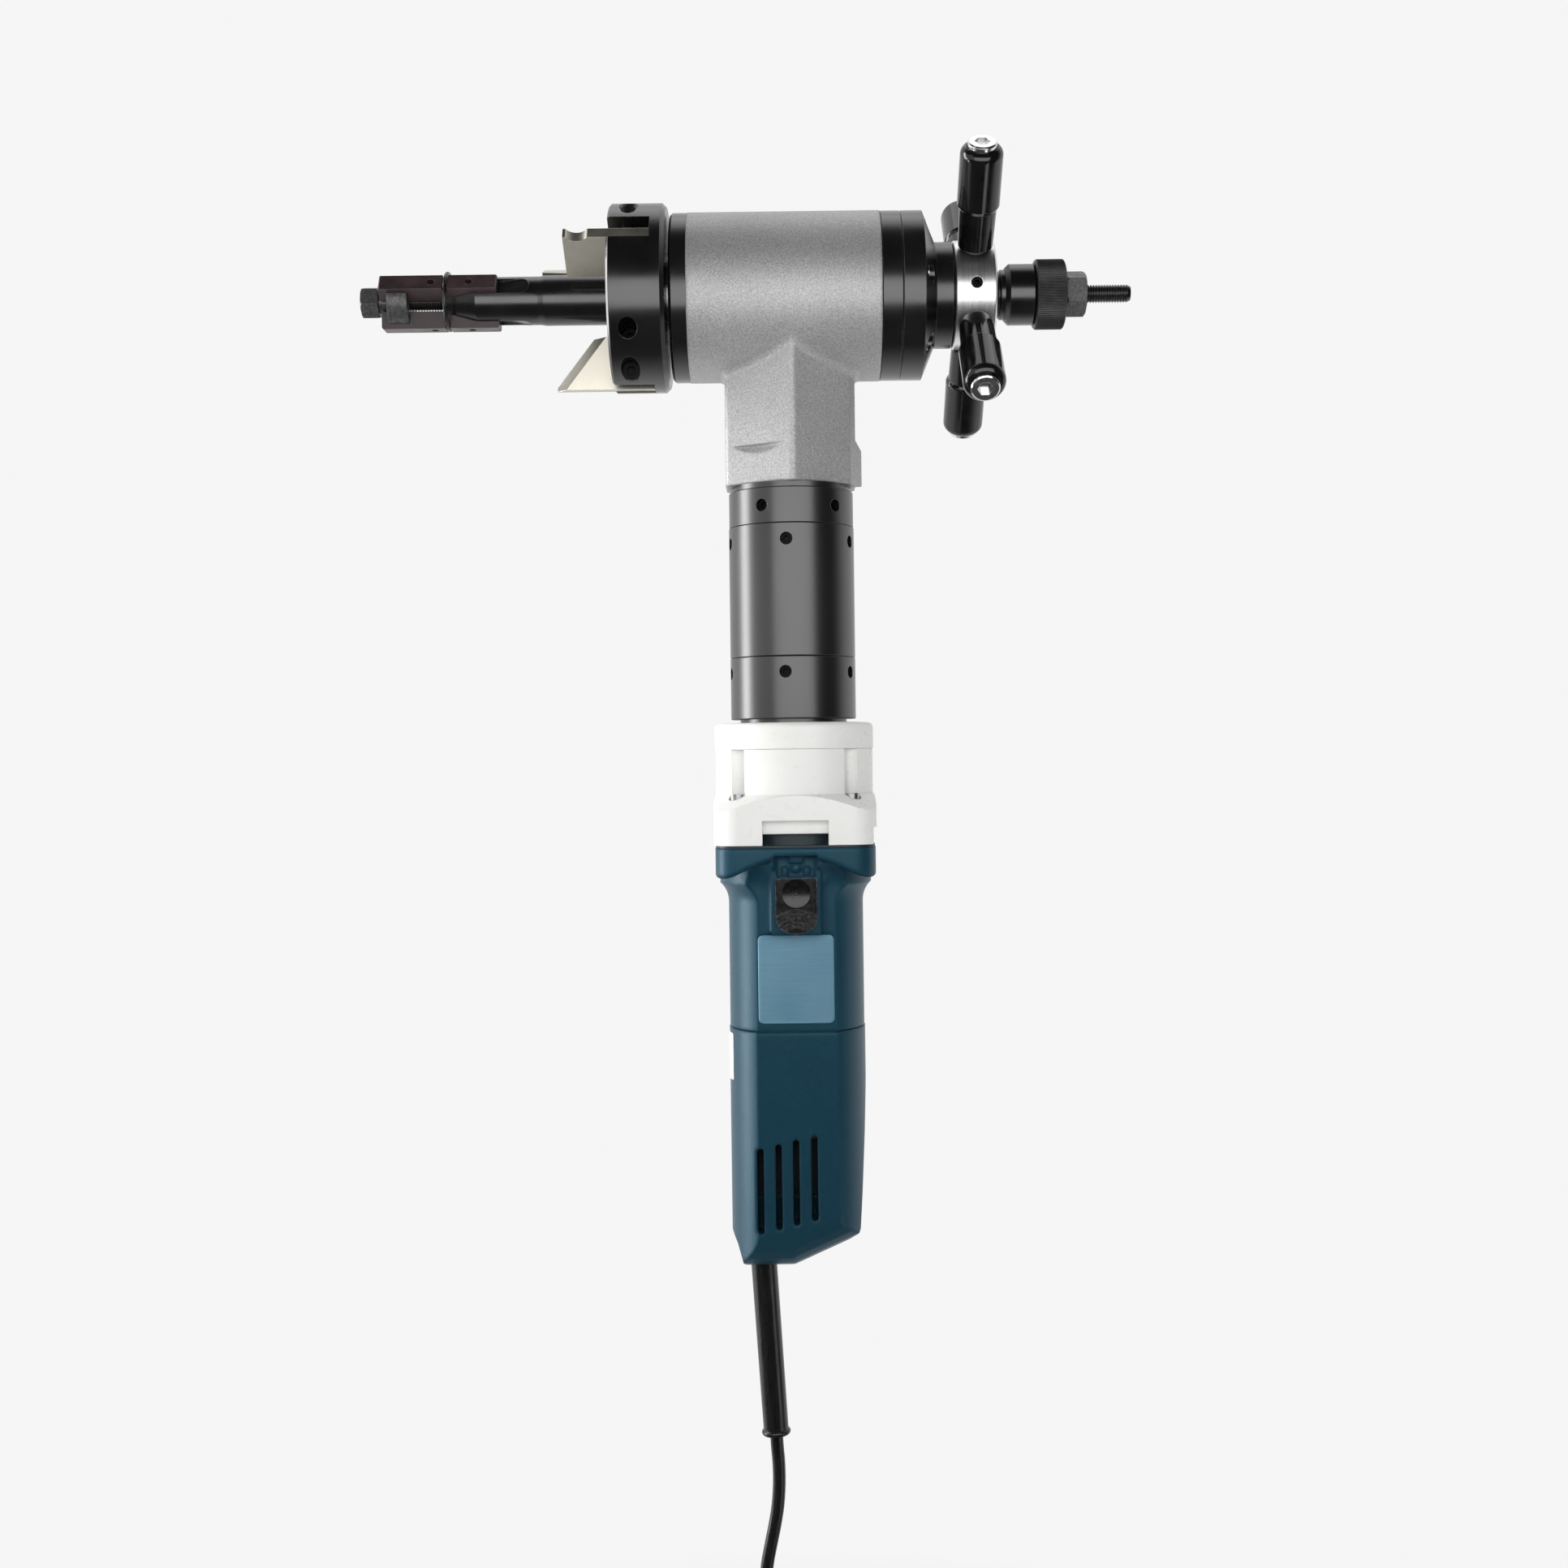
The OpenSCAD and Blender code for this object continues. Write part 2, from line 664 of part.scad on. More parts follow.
// Cutter whose edge slopes at the bevel's angle, ground back behind the edge
module bevel_cutter() color("#d8d4c6") {
    front = head_x - bevel_reach;
    slope = tan(bevel_angle);
    relief = 42;
    difference() {
        blade(thirds[1], cutter_t) polygon([
            [front, cutter_top - 2], [front, cutter_top], [cutter_back, cutter_top],
            [cutter_back, cutter_low], [front + (cutter_h - 2) * slope, cutter_low]]);
        rotate([thirds[1], 0, 0]) translate([front, -cutter_t / 2, cutter_top - 2])
            rotate([0, 90 - bevel_angle, 0]) rotate([relief, 0, 0])
                translate([-20, -20, -30]) cube([90, 60, 30]);
    }
}

// Long cutter with a square end
module facing_cutter() color("#aaa391") {
    front = head_x - facing_reach;
    blade(thirds[2], cutter_t) polygon([
        [front, cutter_top - 4], [front + 1, cutter_top], [cutter_back, cutter_top],
        [cutter_back, cutter_low], [head_x - 6, cutter_low], [head_x - 14, cutter_top - 7]]);
}

// Spindle and its crown gear

module spindle() color("#77797c") {
    difference() {
        union() {
            rod_x(spindle_x, seat_end, spindle_r);
            rod_x(housing_x + bearing_w + 2.2, housing_x + bearing_w + 4.5, spindle_r + 2.5);
        }
        rod_x(spindle_x - 1, seat_end + 1, spindle_bore);
    }
}

module bevel_gear() color("#6d6f72") {
    cone = atan2(crown_r, pinion_r);
    gap_turn = 180 / crown_teeth;
    hub_back = neck_x - bearing_w - 4.6;
    translate([motor_x, 0, 0]) rotate([0, -90, 0]) difference() {
        union() {
            rotate([0, 0, gap_turn])
                bevel_body(crown_teeth, crown_r, cone, 0.55 * bevel_module, 1.1 * bevel_module, 1);
            translate([0, 0, pinion_r + 0.4]) cylinder(h = hub_back - pinion_r - 0.8, r = crown_r - 4.5);
        }
        cylinder(h = 2 * neck_x, r = spindle_r + fit);
    }
}

module spindle_bearings() color("#b9bbbd") {
    for (x = [housing_x + 1.8, seat_end - bearing_w - 0.5])
        turned_x([[spindle_r + running, x], [spindle_r + 3.5, x], [spindle_r + 4, x + 0.6],
            [bearing_r - 4, x + 0.6], [bearing_r - 3.5, x], [bearing_r, x], [bearing_r, x + bearing_w],
            [bearing_r - 3.5, x + bearing_w], [bearing_r - 4, x + bearing_w - 0.6],
            [spindle_r + 4, x + bearing_w - 0.6], [spindle_r + 3.5, x + bearing_w],
            [spindle_r + running, x + bearing_w]]);
}

// Housing and its caps

module main_housing() color("#a7a8a9") {
    difference() {
        union() {
            rod_x(housing_x, ring_x, housing_r);
            neck_block(0);
            neck_root();
            neck_lug();
        }
        rod_x(housing_x - 1, ring_x + 1, bearing_r + fit);
        rod_motor(-neck_drop - 1, 0, neck_bore + fit);
        neck_notch();
    }
}

// Six-sided neck with its edges rounded, one edge towards the viewer and a flat on the right front edge
module neck_block(top) {
    translate([motor_x, 0, -neck_drop]) linear_extrude(neck_drop + top) intersection() {
        polygon(neck_line(0));
        rotate(-flat_turn) translate([corner_flat - 4 * neck_half, -2 * neck_half]) square(4 * neck_half);
    }
}

// Outward direction of a side of the neck, counted from its front edge
function side_out(j) = let (d = neck_corners[(j + 1) % 6] - neck_corners[j % 6]) [d[1], -d[0]] / norm(d);

// Middle of a rounded edge of the neck
function edge_mid(j) = let (a = side_out(j + 5), b = side_out(j))
    neck_corners[j % 6] - neck_round * (a + b) / (1 + a * b);

// Outline of the neck let out by a distance: six round corners, with the sides cut for the curved housing
function neck_line(out) = [for (j = [0 : 5])
    let (reach = neck_round + out, a = side_out(j + 5), b = side_out(j),
        from = edge_mid(j) + reach * b, to = edge_mid(j + 1) + reach * b)
    each concat([for (m = [0 : 3]) let (c = a * (3 - m) + b * m) edge_mid(j) + reach * c / norm(c)],
        [for (m = [1 : 5]) from + (to - from) * m / 6])];

// Round root of the neck, tangent to its faces and to the housing
module neck_root() {
    profile = concat([[-0.4, root_r + 0.3]], [for (a = [15 : 15 : 75]) root_r * [1 - cos(a), 1 - sin(a)]],
        [[root_r + 0.4, -0.5]]);
    count = len(neck_line(0));
    last = len(profile) - 1;
    rings = [for (step = profile) each [for (p = neck_line(step[0]))
        [p[0], p[1], -sqrt(max(pow(housing_r, 2) - pow(p[1], 2), 0)) - step[1]]]];
    walls = [for (i = [0 : last - 1], k = [0 : count - 1])
        let (a = i * count + k, b = i * count + (k + 1) % count) each [
            [a, a + count, b + count], [a, b + count, b]
        ]];
    low = (last + 1) * count;
    fans = [for (k = [0 : count - 1]) each [
        [low, k, (k + 1) % count], [low + 1, last * count + (k + 1) % count, last * count + k]
    ]];
    translate([motor_x, 0, 0]) polyhedron(
        concat(rings, [[0, 0, -housing_r - 2 * root_r], [0, 0, -housing_r / 4]]), concat(walls, fans));
}

// Half-moon notch in the neck's left front face
module neck_notch() {
    mid = -neck_drop + 17;
    reach = 46;
    deep = 2;
    out = side_out(5);
    translate([motor_x, 0, mid]) rotate(atan2(-out[1], -out[0]))
        translate([-neck_corners[0] * out - reach + deep, 2.6, 0])
            rotate([180, 0, 0]) cylinder(h = 3.8, r1 = reach, r2 = reach - deep);
}

// Lug low on the neck's right corner, flush with the corner's flat and with a sloping top
module neck_lug() {
    corner = neck_half * sin(flat_turn) - neck_flank * cos(flat_turn) + 3;
    reach = corner + 6.4;
    depth = 7;
    translate([motor_x, 0, -neck_drop]) rotate([0, 0, -flat_turn]) translate([corner_flat - depth, 0, 0])
        rotate([90, 0, 90]) linear_extrude(depth)
            polygon([[corner - 5.4, 0], [reach - 0.6, 0], [reach, 0.6], [reach, 16], [corner + 0.4, 20],
                [corner - 5.4, 20]]);
}

module front_cap() color("#1a1a1c") {
    turned_x([[spindle_r + 0.8, cap_x], [housing_r - 1.4, cap_x], [housing_r - 0.2, cap_x + 1.2],
        [housing_r - 0.2, housing_x - fit], [bearing_r - fit, housing_x - fit],
        [bearing_r - fit, housing_x + 1.7], [spindle_r + 0.8, housing_x + 1.7]]);
}

module rear_ring() color("#1a1a1c") {
    r = housing_r - 0.2;
    turned_x([[bearing_r + fit, ring_x + fit], [r - 0.4, ring_x + fit], [r, ring_x + 0.5],
        [r, cover_x - 0.4], [r - 0.3, cover_x - fit], [spindle_r + 4, cover_x - fit],
        [spindle_r + 4, seat_end], [bearing_r + fit, seat_end]]);
}

module rear_cover() color("#1a1a1c") {
    r = housing_r - 0.2;
    collar_r = collar_d / 2;
    difference() {
        turned_x([[shaft_r + running, cover_x], [r - 0.3, cover_x], [r, cover_x + 0.4], [r, cone_x],
            [collar_r, collar_x], [collar_r, hub_x - hub_gap - 0.6], [collar_r - 0.6, hub_x - hub_gap],
            [17 + running, hub_x - hub_gap], [17 + running, collar_x + 0.6],
            [shaft_r + running, collar_x + 0.6]]);
        for (turn = cover_turns) rotate([turn, 0, 0]) translate([cone_x - 1, 0, cover_pcd_r]) {
            rotate([0, 90, 0]) cylinder(h = 20, r = screw_head + 0.9);
            translate([1 - screw_len, 0, 0]) rotate([0, 90, 0]) cylinder(h = screw_len, r = screw_r + fit);
        }
    }
    // Tongue that rides in the keyway
    translate([cover_x + 1, 0.1 - key_w / 2, shaft_r - key_depth + 0.2])
        cube([cone_x - cover_x, key_w - 0.2, key_depth + 0.6]);
}

cover_turns = [for (i = [0 : 5]) 25 + 60 * i];

// A pan-head screw along +X, its head starting at the origin
module pan_screw() {
    difference() {
        union() {
            translate([fit, 0, 0]) rotate([0, 90, 0]) cylinder(h = screw_head_len, r = screw_head);
            translate([-screw_len + 1.5, 0, 0]) rotate([0, 90, 0]) cylinder(h = screw_len, r = screw_r);
        }
        translate([1.1, 0, 0]) rotate([0, 90, 0]) cylinder(h = screw_head_len, r = 1.7, $fn = 6);
    }
}

module case_screws() color("#8b8d90") {
    for (turn = cover_turns)
        rotate([turn, 0, 0]) translate([cone_x - 1, 0, cover_pcd_r]) pan_screw();
    for (turn = corner_turns)
        translate([motor_x, 0, ledge_z]) rotate([0, 0, turn]) translate([adapter_screw_r, 0, 0])
            rotate([0, -90, 0]) pan_screw();
}

// Hand wheel

arm_turns = [for (i = [0 : 3]) arm_turn + 90 * i];
arm_x = hub_x + hub_len / 2;
arm_hole = 4;
arm_head = 6.4;
head_sunk = 3;

module feed_hub() color("#c9cacc") {
    r = hub_d / 2;
    end = hub_x + hub_len;
    difference() {
        turned_x([[shaft_r + running, collar_x + 0.9], [17, collar_x + 0.9], [17, hub_x], [r - 0.5, hub_x],
            [r, hub_x + 0.5], [r, end - 0.8], [r - 0.8, end], [shaft_r + running, end]]);
        for (turn = arm_turns) rotate([turn, 0, 0])
            translate([arm_x, 0, shaft_r + 2]) cylinder(h = r, r = arm_hole + fit);
        rotate([set_turn, 0, 0]) translate([arm_x, 0, shaft_r]) cylinder(h = r, r = set_r + fit);
    }
}

set_turn = arm_turn + 45;
set_r = 2.5;

module hub_set_screw() color("#2a2a2c") {
    low = shaft_r + 0.3;
    rotate([set_turn, 0, 0]) translate([arm_x, 0, 0]) difference() {
        translate([0, 0, low]) cylinder(h = hub_d / 2 - low - 1.2, r = set_r);
        translate([0, 0, hub_d / 2 - 4]) cylinder(h = 4, r = 1.45, $fn = 6);
    }
}

module handle_grips() color("#141415") {
    r = grip_d / 2;
    root = grip_root_d / 2;
    low = hub_d / 2 + fit;
    for (turn = arm_turns) rotate([turn, 0, 0]) translate([arm_x, 0, 0]) difference() {
        rotate_extrude() polygon(concat(
            [[arm_hole + fit, low], [root - 1.2, low], [root, low + 1.6], [root + 0.5, grip_step_r - 1],
                [r - 0.4, grip_step_r], [r, grip_step_r + 0.8]],
            arc(r - 4, arm_r - 4, 4, 0, 80, 8), [[arm_hole + fit, arm_r]]));
        translate([0, 0, arm_r - head_sunk]) cylinder(h = 2 * head_sunk, r = arm_head + 0.3);
    }
}

module handle_screws() color("#d5d6d8") {
    for (turn = arm_turns) rotate([turn, 0, 0]) translate([arm_x, 0, 0]) difference() {
        seat = arm_r - head_sunk + fit;
        rotate_extrude() polygon([[0, shaft_r + 2.2], [arm_hole, shaft_r + 2.2], [arm_hole, seat],
            [arm_head, seat], [arm_head, arm_r + 1.4], [arm_head - 0.6, arm_r + 2], [0, arm_r + 2]]);
        translate([0, 0, arm_r - 1]) cylinder(h = 6, r = 6 / sqrt(3), $fn = 6);
    }
}

// Gear train

module bevel_pinion() color("#6d6f72") {
    cone = atan2(pinion_r, crown_r);
    translate([motor_x, 0, 0]) rotate([180, 0, 0]) union() {
        bevel_body(pinion_teeth, pinion_r, cone, 0.85 * bevel_module, 0.8 * bevel_module, 3);
        translate([0, 0, crown_r - 2]) cylinder(h = 6, r = pinion_r - 2);
        translate([0, 0, crown_r]) cylinder(h = -upper_plate_z - crown_r + plate_h, r = pinion_shaft);
    }
}

module pinion_bearing() color("#b9bbbd") {
    z = -crown_r - 26;
    turned_motor([[pinion_shaft + running, z], [pinion_shaft + 2, z], [pinion_shaft + 2.4, z + 0.5],
        [neck_bore - 2.4, z + 0.5], [neck_bore - 2, z], [neck_bore, z], [neck_bore, z + 11],
        [pinion_shaft + running, z + 11]]);
}

module carrier_pins(plate_z) {
    for (i = [0 : 2]) translate([motor_x, 0, 0]) rotate([0, 0, 120 * i]) translate([arm, 0, 0])
        translate([0, 0, plate_z - plate_h - stage_gap - planet_h - 0.6])
            cylinder(h = planet_h + stage_gap + plate_h, r = planet_bore);
}

module output_carrier() color("#85878a") {
    difference() {
        union() {
            rod_motor(upper_plate_z - plate_h, upper_plate_z, arm + 5);
            carrier_pins(upper_plate_z);
        }
        rod_motor(upper_plate_z - plate_h - 1, upper_plate_z + 1, pinion_shaft + fit);
    }
}

module planet(stage_z, i) color("#7b7d80") {
    translate([motor_x, 0, stage_z]) translate(arm * [cos(120 * i), sin(120 * i), 0])
        spur(planet_teeth, planet_h, planet_bore + running);
}

module upper_planet_1() { planet(upper_gear_z, 0); }
module upper_planet_2() { planet(upper_gear_z, 1); }
module upper_planet_3() { planet(upper_gear_z, 2); }
module lower_planet_1() { planet(lower_gear_z, 0); }
module lower_planet_2() { planet(lower_gear_z, 1); }
module lower_planet_3() { planet(lower_gear_z, 2); }

// Carrier of the lower stage, with the upper stage's sun on its shaft
module stage_carrier() color("#85878a") {
    union() {
        rod_motor(lower_plate_z - plate_h, lower_plate_z, arm + 5);
        rod_motor(lower_plate_z - 0.5, upper_gear_z, 5);
        translate([motor_x, 0, upper_gear_z - 0.2]) spur_solid(planet_h);
        carrier_pins(lower_plate_z);
    }
}

module spur_solid(h) {
    linear_extrude(h) polygon(gear_points(sun_teeth, gear_module, gear_add, gear_ded, slack, 4));
}

module ring_gear() color("#8d8f92") {
    difference() {
        translate([motor_x, 0, ring_low]) linear_extrude(ring_top - ring_low) difference() {
            circle(tube_bore - fit);
            polygon(gear_points(ring_teeth, gear_module, gear_ded, ring_add, -slack, 3));
        }
        grub_ring(grub_rows[1], tube_r - grub_sunk, tube_r, grub_r + fit);
    }
}

// Gearbox casings, with screws in three rows

grub_rows = [
    [upper_z - 8, -28], [tube_z - 7.2, -5], [lower_z - 7, -7]
];
grub_sunk = 5.9;

// Five screw holes round the tube, starting at a turn from the viewer's side
module grub_ring(row, r0, r1, hole) {
    for (i = [0 : 4]) translate([motor_x, 0, row[0]]) rotate([0, 0, row[1] + 72 * i - 90])
        translate([r0, 0, 0]) rotate([0, 90, 0]) cylinder(h = r1 - r0, r = hole);
}

module gearbox_upper_ring() color("#3a3b3e") {
    difference() {
        turned_motor([[pinion_shaft + 1, upper_z - upper_ring_len + 9], [pinion_shaft + 1, -neck_drop + 12],
            [neck_bore - fit, -neck_drop + 12], [neck_bore - fit, -neck_drop - fit],
            [tube_r - 1.6, -neck_drop - fit], [tube_r - 1.6, upper_z], [tube_r - 0.5, upper_z],
            [tube_r - 0.2, upper_z - 0.4], [tube_r - 0.2, tube_z + 0.2], [tube_r - 0.5, tube_z + fit],
            [tube_bore - fit, tube_z + fit], [tube_bore - fit, ring_top + fit], [arm + 6.5, ring_top + fit],
            [arm + 6.5, upper_z - upper_ring_len + 9]]);
        for (row = [grub_rows[0], grub_rows[1]])
            grub_ring(row, tube_r - grub_sunk, tube_r + 1, grub_r + fit);
    }
}

module gearbox_tube() color("#4b4c50") {
    difference() {
        turned_motor([[tube_bore, lower_z], [tube_r - 0.3, lower_z], [tube_r, lower_z + 0.3],
            [tube_r, tube_z - 0.3], [tube_r - 0.3, tube_z], [tube_bore, tube_z]]);
        grub_ring(grub_rows[1], tube_bore - 1, tube_r + 1, grub_r + fit);
    }
}

module gearbox_lower_ring() color("#3a3b3e") {
    step = spigot_z - spigot_gap - adapter_cap_len + 2;
    spigot = tube_r - 4.2;
    difference() {
        turned_motor([[shaft_motor + 4, step], [spigot, step], [spigot, spigot_z], [tube_r - 0.3, spigot_z],
            [tube_r, spigot_z + 0.3], [tube_r, lower_z - 0.4], [tube_r - 0.3, lower_z - fit],
            [tube_bore - fit, lower_z - fit], [tube_bore - fit, ring_low - fit],
            [shaft_motor + 4, ring_low - fit]]);
        grub_ring(grub_rows[2], tube_r - grub_sunk, tube_r + 1, grub_r + fit);
    }
}

module gearbox_grub_screws() color("#1f1f21") {
    depth = 2.4;
    for (row = grub_rows) difference() {
        grub_ring(row, tube_r - grub_sunk + 0.1, tube_r - depth, grub_r);
        grub_ring(row, tube_r - depth - 1.6, tube_r, grub_r * 0.55);
    }
}

// White adapter between gearbox and motor

corner_turns = [45, 135, 225, 315];
ledge_z = case_z - 22.4;
case_low = case_z - case_len;

module adapter_cap() color("#f0efe9") {
    r = adapter_w / 2;
    bore = tube_r - 4.2 + fit;
    turned_motor(concat([[bore, case_z + fit], [r - 0.4, case_z + fit], [r, case_z + 0.5]],
        arc(r - 2.2, cap_z - 2.2, 2.2, 0, 90, 5), [[bore, cap_z]]));
}

// Round above and square below, where a cone cuts the corners to sloping ledges
module adapter_case() color("#f0efe9") {
    r = adapter_w / 2 - 0.3;
    mid_z = case_z - 20;
    drop = 5;
    difference() {
        union() {
            rod_motor(mid_z - 8, case_z, r);
            intersection() {
                translate([motor_x, 0, case_low]) linear_extrude(case_len)
                    rounded_square(adapter_w, corner_r);
                turned_motor([[0, case_low], [r + 16, case_low], [r + 16, mid_z - 16 * 0.62],
                    [r, mid_z], [0, mid_z]]);
            }
        }
        rod_motor(case_low - 1, case_z - drop, 29);
        rod_motor(case_z - drop - 1, case_z + 1, shaft_motor + 6);
        for (turn = corner_turns) translate([motor_x, 0, 0]) rotate([0, 0, turn])
            translate([adapter_screw_r, 0, 0]) {
                translate([0, 0, ledge_z]) cylinder(h = case_len, r = screw_head + 0.6);
                translate([0, 0, ledge_z - screw_len + 1]) cylinder(h = screw_len, r = screw_r + fit);
            }
        translate([motor_x - notch_w / 2, -adapter_w, case_low - 1]) {
            cube([notch_w, adapter_w / 2 + 4.6, notch_h + 1]);
            cube([notch_w, adapter_w - 20, plate_len + 1.4]);
        }
        translate([motor_x + adapter_w / 2 - 1.6, -adapter_w, case_low - 1]) cube([10, 2 * adapter_w, 8.4]);
    }
}

// Bearing shield inside the adapter, with a thin square rim clamped under it
module bearing_plate() color("#20323c") {
    turned_motor([[bearing_od + fit, case_low + fit + plate_len], [28.6, case_low + fit + plate_len],
        [28.6, flange_z + fit], [bearing_od + fit, flange_z + fit]]);
    translate([motor_x, 0, flange_z + fit]) linear_extrude(plate_gap - 2 * fit) difference() {
        rounded_square(flange_w - 0.6, corner_r);
        circle(bearing_od + fit);
    }
}

// Motor

// Square flange whose lower edge is cut by a cone, over a round body with flats below the slider and a
// scoop each side of it
module motor_shell() color("#1d4a60") {
    fillet = 12;
    top_r = flange_w / 2 - 0.6;
    low = flange_z - flange_len;
    face = body_r + 0.2;
    half = slider_w / 2 + 0.6;
    difference() {
        union() {
            difference() {
                turned_motor(concat([[0, flange_z - 2], [body_r + 3.8, flange_z - 2]],
                    arc(body_r + fillet, low - 16, fillet, 133, 180, 8),
                    [[body_r, seam_z + 0.6], [body_r - 0.6, seam_z + fit], [0, seam_z + fit]]));
                for (side = [-1, 1]) translate([motor_x + side * 17, -flat_y - 12.2, 0]) shell_scoop(low);
                for (side = [0, 1]) mirror([0, side, 0]) shell_flat();
            }
            intersection() {
                translate([motor_x, 0, low - 4]) linear_extrude(flange_len + 4)
                    rounded_square(flange_w, corner_r);
                turned_motor([[0, flange_z], [top_r + 16, flange_z], [top_r + 16, low - 4],
                    [top_r + 11, low - 4], [top_r, low + 6], [0, low + 6]]);
            }
            translate([motor_x - half - 1.4, -face, slider_z - 0.8])
                cube([2 * half + 2.8, 8, -slider_z + low + 5.8]);
        }
        rod_motor(seam_z - 1, slider_z, handle_bore);
        rod_motor(slider_z - 1.5, flange_z - 6, body_bore);
        rod_motor(flange_z - 8, flange_z + 1, bearing_od + 14);
        translate([motor_x - half, -flange_w, slider_z - 1])
            cube([2 * half, flange_w - face, slider_len + slider_travel + 5]);
        translate([motor_x, 1.4 - face, slider_z + slider_len]) rotate([90, 0, 0])
            linear_extrude(5) shell_window();
        translate([motor_x - 3.4, -flange_w, slider_z + 5]) cube([6.8, flange_w - 8, 9 + slider_travel]);
    }
}

// What the flat for the name plate takes off the front of the round body, up to a sloping shoulder
module shell_flat() {
    out = body_r + 1;
    top = slider_z - 0.8;
    translate([motor_x - out, 0, 0]) rotate([90, 0, 90]) linear_extrude(2 * out)
        polygon([[-flat_y, seam_z - 1], [-flat_y, top], [-out, top + out - flat_y], [-out, seam_z - 1]]);
}

// Finger hollow, round at its top and running out on the flat below
module shell_scoop(low) {
    rotate_extrude() polygon(concat([[0, slider_z - 6], [12, slider_z - 6]], arc(0, low - 8, 12, 0, 90, 8)));
}

// Sunk field above the slider, leaving two tabs and a round stop
module shell_window() {
    difference() {
        translate([0.6 - slider_w / 2, 0.6]) square([slider_w - 1.2, slider_travel + 2.8]);
        for (side = [-1, 1]) translate([side * 4.8 - 1.2, 1]) square([2.4, 4]);
        translate([0, 4.2]) circle(1.9);
        translate([-3.2, slider_travel + 0.6]) square([6.4, 3]);
    }
}

// Thumb piece with a shallow dent, curved ribs, a round lower end and a stem through the shell
module switch_slider() color("#111112") {
    base = body_r + 0.4;
    round = 7;
    dent_r = 20;
    rib_y = -3.5;
    ribs = [for (i = [0 : 4]) 7.4 + 1.7 * i];
    translate([motor_x, -base, slider_z]) rotate([90, 0, 0]) {
        intersection() {
            linear_extrude(slider_top + 2) slider_outline(round);
            union() {
                difference() {
                    translate([-slider_w, 0, 0]) cube([2 * slider_w, slider_len, slider_top]);
                    translate([0, slider_len - 6.5, slider_top - 1 + dent_r]) rotate_extrude()
                        polygon(arc(0, 0, dent_r, -90, 90, 48));
                }
                translate([0, rib_y, 0]) rotate_extrude() polygon(concat([[0, 0.5], [0, slider_top + 0.2]],
                    [for (r = ribs) each [[r - 0.9, slider_top + 0.1], [r - 0.6, slider_top + 0.9],
                        [r - 0.1, slider_top + 0.9], [r + 0.2, slider_top + 0.1]]], [[14.9, 0.5]]));
            }
        }
        translate([-3, 6, -shell_wall - 1.8]) cube([6, 7, shell_wall + 3]);
    }
}

module slider_outline(round) {
    half = slider_w / 2;
    polygon(concat([[half, slider_len], [-half, slider_len]],
        [for (a = [180 : 15 : 360]) [half * cos(a), round + round * sin(a)]]));
}

// Outline of the handle from the front, from its seam down to its slanting end
module handle_outline() {
    r = body_r + 0.3;
    heel = 3.2;
    sweep = 1.88 * r;
    polygon(concat([[-r, seam_z], [0.2 - r, handle_z + 15.2], [2.8 - r, handle_z + 10.7],
        [5.2 - r, handle_z + heel]], arc(5.2 + heel - r, handle_z + heel, heel, 190, 270, 5),
        arc(-0.41 * r, handle_z + sweep, sweep, 270, 309, 9),
        [[r - 4.6, handle_z + 14.8], [r - 3.6, handle_z + 17], [r - 2.5, handle_z + 33],
            [r - 1, handle_z + 60], [r, seam_z - 22], [r, seam_z]]));
}

module rear_handle() color("#173c4e") {
    r = body_r + 0.3;
    difference() {
        intersection() {
            rod_motor(handle_z - 1, seam_z, r);
            translate([motor_x, r + 1, 0]) rotate([90, 0, 0]) linear_extrude(2 * r + 2) handle_outline();
            translate([motor_x, 0, handle_z]) tucked(flat_y, 18);
            translate([motor_x, 0, handle_z + 1.1]) rotate([0, -24, 0]) tucked(flat_y + 1, 19);
        }
        rod_motor(handle_floor, seam_z + 1, handle_bore);
        for (i = [0 : 3], side = [0, 1]) mirror([0, side, 0])
            translate([motor_x + vents[i], -0.4 * r, vent_low + 1.9 * i]) vent();
        translate(relief_from) rotate([0, 180 - relief_tilt, 0])
            translate([0, 0, -8]) cylinder(h = 20, r = relief_d / 2 + fit);
    }
}

// Long bar between two flats, with its lower edges rounded; it rests on the floor at 0
module tucked(half, tuck) {
    reach = handle_len + 2 * body_r;
    translate([-reach, 0, 0]) rotate([90, 0, 90]) linear_extrude(2 * reach)
        polygon(concat(arc(tuck - half, tuck, tuck, 180, 270, 6), arc(half - tuck, tuck, tuck, 270, 360, 6),
            [[half, 2 * reach], [-half, 2 * reach]]));
}

// Slot with round ends, cut in from the front
module vent() {
    end = vent_w / 2;
    rotate([90, 0, 0]) linear_extrude(body_r) {
        translate([-end, end]) square([vent_w, vent_len - vent_w]);
        for (z = [end, vent_len - end]) translate([0, z]) circle(end);
    }
}

module armature() color("#8a6a4a") {
    union() {
        rod_motor(tail_bearing_z - 4, lower_gear_z + 1, shaft_motor);
        translate([motor_x, 0, lower_gear_z]) spur_solid(planet_h);
        rod_motor(core_z, core_z + core_len, core_r);
        rod_motor(comm_z, comm_z + 13, comm_r);
    }
}

module cooling_fan() color("#2a2c2f") {
    blades = 9;
    difference() {
        union() {
            rod_motor(fan_z, fan_z + 2, 25);
            rod_motor(fan_z, fan_z + 8, 8);
            for (i = [0 : blades - 1]) translate([motor_x, 0, fan_z]) rotate([0, 0, 360 * i / blades])
                translate([10, -0.8, 0]) cube([14, 1.6, 8]);
        }
        rod_motor(fan_z - 1, fan_z + 9, shaft_motor + fit);
    }
}

module stator() color("#5b4a3a") {
    difference() {
        rod_motor(core_z, core_z + core_len, handle_bore - fit);
        rod_motor(core_z - 1, core_z + core_len + 1, core_r + 0.6);
    }
}

